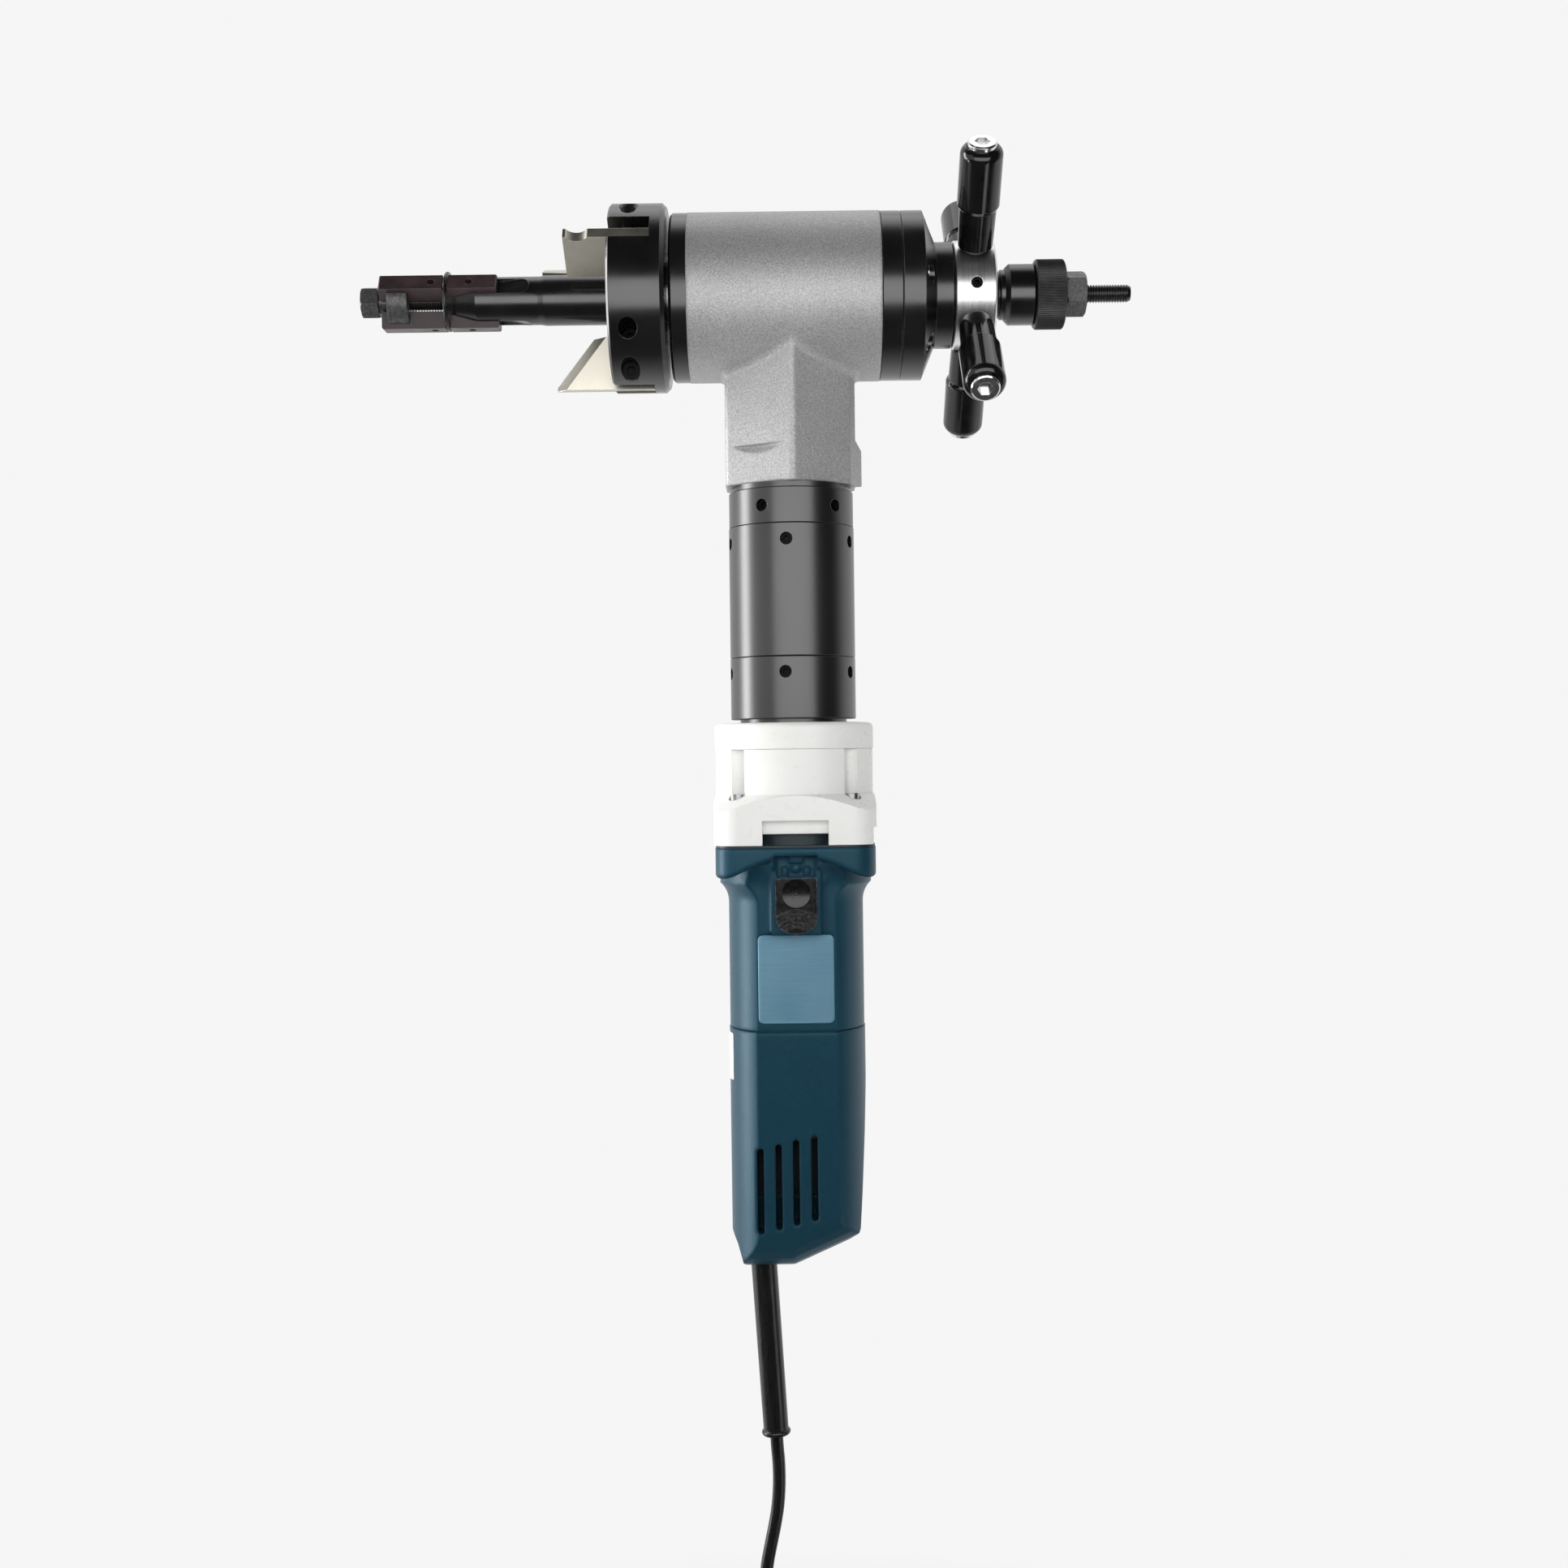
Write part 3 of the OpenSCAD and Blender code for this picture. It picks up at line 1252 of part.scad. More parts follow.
module brushes() color("#6a5a30") {
    for (side = [0, 1]) mirror([0, side, 0]) translate([motor_x - 3.5, comm_r + 0.3, comm_z + 3])
        cube([7, handle_bore - comm_r - 0.9, 7]);
}

module motor_bearings() color("#b9bbbd") {
    for (z = [flange_z + fit, tail_bearing_z - 3.5])
        turned_motor([[shaft_motor + running, z], [bearing_od, z], [bearing_od, z + plate_len],
            [shaft_motor + running, z + plate_len]]);
}

module switch_module() color("#2c2c2c") {
    translate([motor_x - module_size[0] / 2, -module_size[1] / 2, handle_floor + fit]) cube(module_size);
}

// Cord

// Tapered sleeve with a bead at its end, tilted as it leaves the handle
module strain_relief() color("#121212") {
    r = relief_d / 2;
    end = r - 0.2;
    translate(relief_from) rotate([0, 180 - relief_tilt, 0]) rotate_extrude() polygon(concat(
        [[0, 0], [r, 0], [end, relief_len - 2.8]],
        arc(end - 0.4, relief_len - 1.4, 1.3, -60, 70, 6), [[0, relief_len]]));
}

lead_dir = relief_to - relief_from;
lead_route = concat([relief_to, relief_to + cord_d * lead_dir / norm(lead_dir)], lead_points,
    [hank_top + [0, 0, cord_d]]);

module cord_lead() color("#121212") {
    swept(lead_route, cord_d / 2, 8);
}

// Place on the hank at a number of loops from its start: two layers, in and out again
function hank_at(turn) =
    let (loop = floor(turn), u = (turn - loop) * loop_rings)
    let (w = hank_in + hank_step * abs(hank_turns - turn))
    let (climb = min(max((turn - hank_turns) * loop_rings / run_rings, 0), 1))
    let (y = hank_top[1] + hank_layer * climb, mid = hank_top[0] + hank_out)
    let (low = hank_top[2] - hank_run)
    u < run_rings ? let (s = u / run_rings)
        [mid - w + hank_waist * pow(sin(180 * s), 2), y, hank_top[2] - hank_run * s]
    : u < run_rings + fold_rings ? let (a = 180 + 180 * (u - run_rings) / fold_rings)
        [mid + w * cos(a), y, low + w * sin(a)]
    : u < 2 * run_rings + fold_rings ? let (s = (u - run_rings - fold_rings) / run_rings)
        [mid + w - hank_waist * pow(sin(180 * s), 2), y, low + hank_run * s]
    : let (a = 180 * (u - 2 * run_rings - fold_rings) / fold_rings)
        [mid + w * cos(a), y, hank_top[2] + w * sin(a)];

hank_end = 2 * hank_turns;
hank_last = hank_at(hank_end + run_rings / loop_rings - 0.0001);
hank_foot = hank_last - [0, 0, hank_tail];
hank_route = concat([hank_top + [0, 0, cord_d]],
    [for (i = [0 : hank_end * loop_rings + run_rings - 1]) hank_at(i / loop_rings)],
    [hank_last, hank_foot + [0, 0, 2 * cord_d], hank_foot + [0, 0, cord_d], hank_foot]);

function route_len(points) = let (n = len(points) - 1)
    norm([for (i = [0 : n - 1]) sqrt(norm(points[i + 1] - points[i]))]) ^ 2;

hank_gap = min([for (i = [0 : len(hank_route) - 10], j = [i + 9 : len(hank_route) - 1])
    norm(hank_route[i] - hank_route[j])]) - cord_d;

module cord_hank() color("#121212") {
    echo(hank_least_gap = hank_gap, cord_length = route_len(lead_route) + route_len(hank_route));
    swept(hank_route, cord_d / 2, 6);
}

// Band round the waist of the hank
module hank_tie() color("#1a1a1a") {
    half_w = hank_out + 0.12 * hank_step - 0.9 * hank_waist + cord_d / 2 + 0.15;
    half_t = hank_layer / 2 + cord_d / 2 + 0.1;
    bend = cord_d / 2 + 0.2;
    wall = 1.4;
    width = 7;
    translate([hank_top[0] + hank_out, 0, hank_top[2] - hank_run / 2 - width / 2])
        linear_extrude(width) difference() {
            tie_outline(half_w + wall, half_t + wall, bend + wall);
            tie_outline(half_w, half_t, bend);
        }
}

module tie_outline(half_w, half_t, r) {
    square([2 * (half_w - r), 2 * half_t], center = true);
    square([2 * half_w, 2 * (half_t - r)], center = true);
    for (x = [-1, 1], y = [-1, 1]) translate([x * (half_w - r), y * (half_t - r)]) circle(r);
}

// Two-pin plug hanging at the cord's end
module plug() color("#141414") {
    pin_r = 2.4;
    pin_gap = 19;
    translate(hank_foot) rotate([180, 0, 0]) {
        rotate_extrude() polygon([[0, 0], [cord_d / 2 + 0.8, 0], [cord_d / 2 + 2.2, 14], [9, 22], [9, 30],
            [0, 30]]);
        translate([0, 0, 20]) linear_extrude(18) tie_outline(17, 8, 7.5);
        for (side = [-1, 1]) translate([side * pin_gap / 2, 0, 37]) cylinder(h = 20, r = pin_r);
    }
}

mandrel_shaft();
stop_sleeve();
draw_bar();
jaw_carrier();
front_nut();
jaw_ring();
jaw_1();
jaw_2();
jaw_3();
tension_nut();
cutter_head();
j_cutter();
bevel_cutter();
facing_cutter();
cutter_screws();
spindle();
bevel_gear();
main_housing();
front_cap();
rear_ring();
rear_cover();
spindle_bearings();
feed_hub();
handle_grips();
handle_screws();
hub_set_screw();
bevel_pinion();
pinion_bearing();
output_carrier();
upper_planet_1();
upper_planet_2();
upper_planet_3();
stage_carrier();
lower_planet_1();
lower_planet_2();
lower_planet_3();
ring_gear();
gearbox_upper_ring();
gearbox_tube();
gearbox_lower_ring();
gearbox_grub_screws();
adapter_cap();
adapter_case();
bearing_plate();
case_screws();
motor_shell();
rear_handle();
switch_slider();
switch_module();
armature();
cooling_fan();
stator();
brushes();
motor_bearings();
strain_relief();
cord_lead();
cord_hank();
hank_tie();
plug();
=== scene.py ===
# %% [markdown]
# # Dressing a pipe beveling machine
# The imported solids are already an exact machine: mandrel, cutter head, gearbox, motor. This lesson
# gives them the finishes of the real thing, adds the few soft or thin pieces that solids cannot show,
# and puts the camera where the photograph was taken.

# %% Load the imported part
import json
import math

import bmesh
import bpy
from mathutils import Matrix, Vector


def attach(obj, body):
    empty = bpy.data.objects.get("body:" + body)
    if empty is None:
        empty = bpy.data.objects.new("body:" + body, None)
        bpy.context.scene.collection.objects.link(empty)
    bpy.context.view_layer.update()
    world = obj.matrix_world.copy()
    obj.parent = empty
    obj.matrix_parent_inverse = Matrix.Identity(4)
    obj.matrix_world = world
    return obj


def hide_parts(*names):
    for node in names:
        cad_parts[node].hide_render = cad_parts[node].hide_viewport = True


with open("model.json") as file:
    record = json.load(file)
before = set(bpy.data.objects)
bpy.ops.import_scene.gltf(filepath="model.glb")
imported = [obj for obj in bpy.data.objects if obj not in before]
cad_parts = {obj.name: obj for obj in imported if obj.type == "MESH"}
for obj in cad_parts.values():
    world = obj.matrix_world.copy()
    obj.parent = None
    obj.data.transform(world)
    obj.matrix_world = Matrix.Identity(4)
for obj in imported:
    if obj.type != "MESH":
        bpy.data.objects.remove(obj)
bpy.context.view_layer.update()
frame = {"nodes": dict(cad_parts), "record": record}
nodes = frame["nodes"]
scene = bpy.context.scene
scene.view_settings.view_transform = "Standard"
print("solids loaded:", len(nodes))

# %% [markdown]
# ## Camera
# The photograph looks straight along +Y, level with the gearbox, from a little under a metre away. The
# machine leans by less than a degree in the picture, so the camera is rolled the other way. The lens
# comes from the width of the frame in pixels, which is all a pinhole camera needs.

# %% Camera at the photograph's place
PHOTO_PX = 1932
FOCAL_PX = 2300
CENTRE_RISE_PX = 36
ROLL = math.radians(-0.72)
camera_data = bpy.data.cameras.new("photo_camera")
camera_data.sensor_width = 36
camera_data.lens = 36 * FOCAL_PX / PHOTO_PX
camera_data.shift_y = -CENTRE_RISE_PX / PHOTO_PX
camera = bpy.data.objects.new("photo_camera", camera_data)
camera.matrix_world = (
    Matrix.Translation((0.1534, -0.851, -0.2083))
    @ Matrix.Rotation(math.radians(90), 4, "X")
    @ Matrix.Rotation(ROLL, 4, "Z")
)
scene.collection.objects.link(camera)
scene.camera = camera
print("lens in mm:", round(camera_data.lens, 2))

# %% [markdown]
# ## Cord
# A mains lead is a fixed length of rubber-sheathed cable. The photograph shows only its first few
# centimetres, so the rest is folded into a tied hank that hangs in line with the motor, out of the
# picture. A curve with a round bevel is the natural tool: its own line is the cable's centreline. The
# route repeats the solid's points, and the free stretch is smoothed between them.

# %% Route of the free stretch
CORD_D = 0.006
MOTOR_X = 0.158
SHELL_R = 0.0305
RELIEF_LEFT = 0.551 * SHELL_R
RELIEF_TOP = -0.435
RELIEF_TILT = math.radians(3.4)
RELIEF_LEN = 0.083
relief_from = Vector((MOTOR_X - RELIEF_LEFT, 0, RELIEF_TOP))
relief_way = Vector((math.sin(RELIEF_TILT), 0, -math.cos(RELIEF_TILT)))
cord_exit = relief_from + RELIEF_LEN * relief_way
lead = [
    (0.147, 0, -0.531), (0.1471, 0, -0.540), (0.1464, 0, -0.550), (0.1449, 0, -0.559), (0.143, 0, -0.568),
    (0.1411, 0, -0.578), (0.1402, -0.0008, -0.591), (0.14, -0.0026, -0.606), (0.14, -0.0035, -0.619),
]
hank_top = Vector((0.140, -0.0035, -0.632))


def smooth(points, parts):
    """The points with a soft curve drawn through them, each step cut into parts."""
    out = []
    last = len(points) - 1
    for i in range(last):
        p0 = points[max(i - 1, 0)]
        p1 = points[i]
        p2 = points[i + 1]
        p3 = points[min(i + 2, last)]
        for k in range(parts):
            t = k / parts
            out.append(
                0.5 * (2 * p1 + (p2 - p0) * t + (2 * p0 - 5 * p1 + 4 * p2 - p3) * t * t
                       + (3 * p1 - p0 - 3 * p2 + p3) * t ** 3)
            )
    return out


free_stretch = smooth(
    [cord_exit, cord_exit + CORD_D * relief_way] + [Vector(p) for p in lead]
    + [hank_top + Vector((0, 0, CORD_D))], 3
)
print("points in the free stretch:", len(free_stretch))

# %% Route of the hank, two layers wound in and out again
RUN = 0.090
STEP = 0.0074
INNER = 0.0182
WAIST = 0.009
TURNS = 3
OUTER = INNER + TURNS * STEP
STRAIGHT = 5
BEND = 7
LOOP = 2 * (STRAIGHT + BEND)
TAIL = 0.0624


def hank_at(turn):
    """Place on the hank after a number of loops."""
    u = (turn - math.floor(turn)) * LOOP
    w = INNER + STEP * abs(TURNS - turn)
    climb = min(max((turn - TURNS) * LOOP / STRAIGHT, 0), 1)
    y = hank_top.y - 2 * hank_top.y * climb
    mid = hank_top.x + OUTER
    low = hank_top.z - RUN
    if u < STRAIGHT:
        s = u / STRAIGHT
        return Vector((mid - w + WAIST * math.sin(math.pi * s) ** 2, y, hank_top.z - RUN * s))
    if u < STRAIGHT + BEND:
        a = math.pi * (1 + (u - STRAIGHT) / BEND)
        return Vector((mid + w * math.cos(a), y, low + w * math.sin(a)))
    if u < 2 * STRAIGHT + BEND:
        s = (u - STRAIGHT - BEND) / STRAIGHT
        return Vector((mid + w - WAIST * math.sin(math.pi * s) ** 2, y, low + RUN * s))
    a = math.pi * (u - 2 * STRAIGHT - BEND) / BEND
    return Vector((mid + w * math.cos(a), y, hank_top.z + w * math.sin(a)))


PER_LOOP = 2 * LOOP
hank = [hank_top + Vector((0, 0, CORD_D))]
hank += [hank_at(i / PER_LOOP) for i in range(2 * TURNS * PER_LOOP + 2 * STRAIGHT)]
hank_last = hank_at(2 * TURNS + STRAIGHT / LOOP - 0.0001)
tail = [hank_last - Vector((0, 0, TAIL * k / 6)) for k in range(7)]
cord_route = free_stretch + hank + tail

# %% The cord as one bevelled curve
cord_data = bpy.data.curves.new("mains_cord", "CURVE")
cord_data.dimensions = "3D"
cord_data.bevel_depth = CORD_D / 2
cord_data.bevel_resolution = 5
cord_data.use_fill_caps = True
spline = cord_data.splines.new("POLY")
spline.points.add(len(cord_route) - 1)
for point, place in zip(spline.points, cord_route):
    point.co = (*place, 1)
spline.use_smooth = True
mains_cord = bpy.data.objects.new("mains_cord", cord_data)
scene.collection.objects.link(mains_cord)
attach(mains_cord, "machine")
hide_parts("cord_lead", "cord_hank")

# %% [markdown]
# ## Light
# The picture was lit by a soft box close in front, level with the gearbox, and by a tall bright strip on
# the left with a dim panel beside it. A weak lamp low on the right draws the streak along the cord, and
# behind the machine there is only white. The black metal tells us so: it mirrors one dim patch, one sharp
# streak and pale edges, with black between. The world is therefore white behind and dark in front, and the
# floor looks white to the camera, but dark to whatever mirrors the part of it that lies in front.

# %% World, white behind the machine and dark in front
world = bpy.data.worlds.new("studio")
scene.world = world
world.use_nodes = True
tree = world.node_tree
tree.nodes.clear()
WHITE = 0.92
room = tree.nodes.new("ShaderNodeTexCoord")
parts = tree.nodes.new("ShaderNodeSeparateXYZ")
depth = tree.nodes.new("ShaderNodeMapRange")
depth.inputs["From Min"].default_value = -0.1
depth.inputs["From Max"].default_value = 0.35
depth.inputs["To Min"].default_value = 0.03
depth.inputs["To Max"].default_value = WHITE
rays = tree.nodes.new("ShaderNodeLightPath")
choose = tree.nodes.new("ShaderNodeMix")
choose.inputs["B"].default_value = WHITE
back = tree.nodes.new("ShaderNodeBackground")
back.inputs["Color"].default_value = (1, 1, 1, 1)
out = tree.nodes.new("ShaderNodeOutputWorld")
tree.links.new(room.outputs["Generated"], parts.inputs[0])
tree.links.new(parts.outputs["Y"], depth.inputs["Value"])
tree.links.new(rays.outputs["Is Camera Ray"], choose.inputs["Factor"])
tree.links.new(depth.outputs["Result"], choose.inputs["A"])
tree.links.new(choose.outputs["Result"], back.inputs["Strength"])
tree.links.new(back.outputs[0], out.inputs[0])
print("world brightness behind:", WHITE)


# %% Lamps
def soft_box(name, place, aim, width, height, radiance):
    """A rectangular lamp whose face has the given brightness."""
    data = bpy.data.lights.new(name, "AREA")
    data.shape = "RECTANGLE"
    data.size = width
    data.size_y = height
    data.energy = radiance * math.pi * width * height
    lamp = bpy.data.objects.new(name, data)
    lamp.location = place
    way = Vector(aim) - Vector(place)
    lamp.rotation_euler = way.to_track_quat("-Z", "Y").to_euler()
    lamp.visible_camera = False
    scene.collection.objects.link(lamp)
    return lamp


MIDDLE = (0.15, 0, -0.15)
front_box = soft_box("front_box", (0.2, -0.6, -0.065), (0.2, 0, -0.065), 0.9, 0.37, 2.8)
left_panel = soft_box("left_panel", (-1.6, -1.0, 0.3), MIDDLE, 1.5, 1.8, 0.8)
left_strip = soft_box("left_strip", (-1.6, 0.15, -0.2), MIDDLE, 0.6, 3.0, 9.0)
top_fill = soft_box("top_fill", (0.3, 0.6, 1.8), MIDDLE, 2.0, 1.0, 0.6)
low_strip = soft_box("low_strip", (0.57, -0.25, -0.68), (0.145, 0, -0.5), 0.16, 0.34, 1.6)
print("lamps:", ", ".join(
    lamp.name for lamp in (front_box, left_panel, left_strip, top_fill, low_strip)
))

# %% Floor below everything, fading into the white background
FLOOR_Z = -0.87
FLOOR_HALF = 6
floor_mesh = bpy.data.meshes.new("floor")
floor_mesh.from_pydata(
    [(x * FLOOR_HALF, y * FLOOR_HALF, FLOOR_Z) for x, y in ((-1, -1), (1, -1), (1, 1), (-1, 1))],
    [], [(0, 1, 2, 3)],
)
floor = bpy.data.objects.new("floor", floor_mesh)
scene.collection.objects.link(floor)
paper = bpy.data.materials.new("floor_paper")
paper.use_nodes = True
tree = paper.node_tree
matt = tree.nodes["Principled BSDF"]
matt.inputs["Base Color"].default_value = (0.85, 0.85, 0.85, 1)
matt.inputs["Roughness"].default_value = 0.9
glow = tree.nodes.new("ShaderNodeEmission")
glow.inputs["Strength"].default_value = WHITE
place = tree.nodes.new("ShaderNodeTexCoord")
spot = tree.nodes.new("ShaderNodeVectorMath")
spot.operation = "DISTANCE"
spot.inputs[1].default_value = (0.15, 0, FLOOR_Z)
far = tree.nodes.new("ShaderNodeMapRange")
far.inputs["From Min"].default_value = 0.3
far.inputs["From Max"].default_value = 0.7
where = tree.nodes.new("ShaderNodeSeparateXYZ")
behind = tree.nodes.new("ShaderNodeMapRange")
behind.inputs["From Min"].default_value = -0.1
behind.inputs["From Max"].default_value = 0.4
seen = tree.nodes.new("ShaderNodeLightPath")
mirrored = tree.nodes.new("ShaderNodeMath")
mirrored.operation = "MULTIPLY"
either = tree.nodes.new("ShaderNodeMath")
either.operation = "MAXIMUM"
both = tree.nodes.new("ShaderNodeMath")
both.operation = "MULTIPLY"
mix = tree.nodes.new("ShaderNodeMixShader")
shade = tree.nodes.new("ShaderNodeBsdfDiffuse")
shade.inputs["Color"].default_value = (0.06, 0.06, 0.06, 1)
ahead = tree.nodes.new("ShaderNodeMath")
ahead.operation = "SUBTRACT"
unlit = tree.nodes.new("ShaderNodeMixShader")
tree.links.new(place.outputs["Object"], spot.inputs[0])
tree.links.new(place.outputs["Object"], where.inputs[0])
tree.links.new(where.outputs["Y"], behind.inputs["Value"])
tree.links.new(spot.outputs["Value"], far.inputs["Value"])
tree.links.new(seen.outputs["Is Glossy Ray"], mirrored.inputs[0])
tree.links.new(behind.outputs["Result"], mirrored.inputs[1])
tree.links.new(seen.outputs["Is Camera Ray"], either.inputs[0])
tree.links.new(mirrored.outputs[0], either.inputs[1])
tree.links.new(either.outputs[0], both.inputs[0])
tree.links.new(far.outputs["Result"], both.inputs[1])
tree.links.new(seen.outputs["Is Glossy Ray"], ahead.inputs[0])
tree.links.new(mirrored.outputs[0], ahead.inputs[1])
tree.links.new(ahead.outputs[0], unlit.inputs[0])
tree.links.new(matt.outputs[0], unlit.inputs[1])
tree.links.new(shade.outputs[0], unlit.inputs[2])
tree.links.new(both.outputs[0], mix.inputs[0])
tree.links.new(unlit.outputs[0], mix.inputs[1])
tree.links.new(glow.outputs[0], mix.inputs[2])
tree.links.new(mix.outputs[0], tree.nodes["Material Output"].inputs[0])
floor_mesh.materials.append(paper)
print("floor at", FLOOR_Z)

# %% [markdown]
# ## A small kit for finishes
# Every finish here is drawn by nodes in the part's own metres, so a scratch or a grain keeps its real size
# on every piece. Five moves cover them all: a stretched grain, a number spread from it, a colour tinted by
# it, a bump raised from it, and a mask of pale edges. The mask paints wear, and on the blacked steel, the
# gearbox and the switch it also paints highlights. The Bevel node rounds the normal near an edge, and where
# that rounded normal leaves the true one, there is an edge to paint pale.

# %% Nodes for grain, spread, tint, bump and pale edges of wear and painted highlight
finishes = {}


def new_finish(slot, rough, metal=0.0, ior=1.5):
    """A material for a slot of the record, with its shader."""
    material = bpy.data.materials.new(slot + "_finish")
    material.use_nodes = True
    shader = material.node_tree.nodes["Principled BSDF"]
    shader.inputs["Roughness"].default_value = rough
    shader.inputs["Metallic"].default_value = metal
    shader.inputs["IOR"].default_value = ior
    finishes[slot] = material
    return material.node_tree, shader


def grain(tree, per_metre, detail=4.0):
    """Noise with its own number of grains per metre along X, Y and Z."""
    where = tree.nodes.new("ShaderNodeTexCoord")
    scale = tree.nodes.new("ShaderNodeVectorMath")
    scale.operation = "MULTIPLY"
    scale.inputs[1].default_value = per_metre
    noise = tree.nodes.new("ShaderNodeTexNoise")
    noise.inputs["Scale"].default_value = 1.0
    noise.inputs["Detail"].default_value = detail
    tree.links.new(where.outputs["Object"], scale.inputs[0])
    tree.links.new(scale.outputs[0], noise.inputs["Vector"])
    return noise.outputs["Fac"]


def spread(tree, value, low, high, start=0.3, end=0.7):
    """The value stretched from start and end to low and high."""
    node = tree.nodes.new("ShaderNodeMapRange")
    node.inputs["From Min"].default_value = start
    node.inputs["From Max"].default_value = end
    node.inputs["To Min"].default_value = low
    node.inputs["To Max"].default_value = high
    tree.links.new(value, node.inputs["Value"])
    return node.outputs["Result"]


def tint(tree, value, first, second):
    """A colour between two, set by a value from 0 to 1; each may be a colour or a socket."""
    node = tree.nodes.new("ShaderNodeMix")
    node.data_type = "RGBA"
    tree.links.new(value, node.inputs[0])
    for index, colour in ((6, first), (7, second)):
        if isinstance(colour, tuple):
            node.inputs[index].default_value = (*colour, 1)
        else:
            tree.links.new(colour, node.inputs[index])
    return node.outputs[2]


def raised(tree, height, distance, soft=0.0):
    """A bump of the given height in metres, over edges softened by a radius."""
    node = tree.nodes.new("ShaderNodeBump")
    node.inputs["Distance"].default_value = distance
    tree.links.new(height, node.inputs["Height"])
    if soft:
        rounded = tree.nodes.new("ShaderNodeBevel")
        rounded.samples = 6
        rounded.inputs["Radius"].default_value = soft
        tree.links.new(rounded.outputs[0], node.inputs["Normal"])
    return node.outputs["Normal"]


def find_worn_highlit_edges(tree, radius, patches):
    """1 on sharp edges that the patches leave bare, 0 on flats; these pale edges stand for wear and painted
    highlights.
    """
    rounded = tree.nodes.new("ShaderNodeBevel")
    rounded.samples = 6
    rounded.inputs["Radius"].default_value = radius
    flat = tree.nodes.new("ShaderNodeNewGeometry")
    same = tree.nodes.new("ShaderNodeVectorMath")
    same.operation = "DOT_PRODUCT"
    tree.links.new(rounded.outputs[0], same.inputs[0])
    tree.links.new(flat.outputs["Normal"], same.inputs[1])
    edge = spread(tree, same.outputs["Value"], 1.0, 0.0, 0.72, 0.97)
    edge_wear_and_highlight = tree.nodes.new("ShaderNodeMath")
    edge_wear_and_highlight.operation = "MULTIPLY"
    tree.links.new(edge, edge_wear_and_highlight.inputs[0])
    tree.links.new(spread(tree, patches, 0.25, 1.0), edge_wear_and_highlight.inputs[1])
    return edge_wear_and_highlight.outputs[0]


print("finish kit ready")

# %% [markdown]
# ## Oil-blacked steel
# The mandrel, cutter head, caps, sleeve and nuts are steel that was turned, blacked in hot salts and
# oiled. It could be painted black and left shiny, but the real skin is a thin dark layer over metal: it is
# nearly black straight on, mirrors softly and shows faint turning rings round the mandrel. Its corners are
# painted pale: partly rubbed through to steel, partly a painted highlight. The rings are a grain squeezed
# along X.

# %% Finish of the oil-blacked steel
tree, black = new_finish("black_oxide", 0.24, 0.0, 1.72)
rings = grain(tree, (1100, 12, 12))
smears = grain(tree, (45, 60, 60), 3.0)
# pale corners: rubbed-through steel and a painted edge highlight
edge_wear_and_highlight = find_worn_highlit_edges(tree, 0.0006, grain(tree, (260, 260, 260)))
skin = tint(tree, spread(tree, smears, 0, 1), (0.003, 0.003, 0.0032), (0.0055, 0.0055, 0.0058))
tree.links.new(tint(tree, edge_wear_and_highlight, skin, (0.16, 0.16, 0.165)), black.inputs["Base Color"])
tree.links.new(spread(tree, smears, 0.2, 0.28), black.inputs["Roughness"])
tree.links.new(spread(tree, edge_wear_and_highlight, 0.0, 0.9, 0, 1), black.inputs["Metallic"])
tree.links.new(raised(tree, rings, 0.000004, 0.0003), black.inputs["Normal"])
print("black finish:", finishes["black_oxide"].name)

# %% [markdown]
# ## Polished gearbox steel
# The three gearbox casings are darker than bare steel and a little softer in their shine than the blacked
# parts: they were polished on the lathe, then blued. The same recipe serves, with the rings squeezed along
# Z, because these pieces turned about the motor's axis, and with a fainter pale edge, partly wear and partly
# painted highlight.

# %% Finish of the gearbox casings
tree, blued = new_finish("gunmetal", 0.3, 0.0, 1.8)
rings = grain(tree, (10, 10, 1300))
smears = grain(tree, (30, 30, 12), 3.0)
# pale edges: wear and a painted edge highlight
edge_wear_and_highlight = find_worn_highlit_edges(tree, 0.0005, grain(tree, (220, 220, 220)))
skin = tint(tree, spread(tree, smears, 0, 1), (0.0045, 0.0045, 0.005), (0.0085, 0.0085, 0.009))
tree.links.new(tint(tree, edge_wear_and_highlight, skin, (0.2, 0.2, 0.205)), blued.inputs["Base Color"])
tree.links.new(spread(tree, smears, 0.27, 0.33), blued.inputs["Roughness"])
tree.links.new(spread(tree, edge_wear_and_highlight, 0.0, 0.8, 0, 1), blued.inputs["Metallic"])
tree.links.new(raised(tree, rings, 0.000004, 0.0003), blued.inputs["Normal"])
print("gearbox finish:", finishes["gunmetal"].name)

# %% [markdown]
# ## Browned jaws
# The three jaws are small ground bars with a brown oxide skin, which reads as a dull maroon beside the
# black. Grinding leaves straight lines along a bar, so the grain is long in X and fine across it. Their
# corners do the gripping and are the most rubbed edges on the machine.

# %% Finish of the jaws
tree, brown = new_finish("jaw_oxide", 0.36, 0.0, 1.55)
lines = grain(tree, (40, 1500, 1500))
patches = grain(tree, (120, 160, 160), 3.0)
edge_wear_and_highlight = find_worn_highlit_edges(tree, 0.0005, grain(tree, (350, 350, 350)))
skin = tint(tree, spread(tree, patches, 0, 1), (0.026, 0.0145, 0.016), (0.044, 0.025, 0.027))
tree.links.new(tint(tree, edge_wear_and_highlight, skin, (0.2, 0.16, 0.16)), brown.inputs["Base Color"])
tree.links.new(spread(tree, patches, 0.3, 0.42), brown.inputs["Roughness"])
tree.links.new(spread(tree, edge_wear_and_highlight, 0.0, 0.7, 0, 1), brown.inputs["Metallic"])
tree.links.new(raised(tree, lines, 0.000006, 0.0003), brown.inputs["Normal"])
print("jaw finish:", finishes["jaw_oxide"].name)

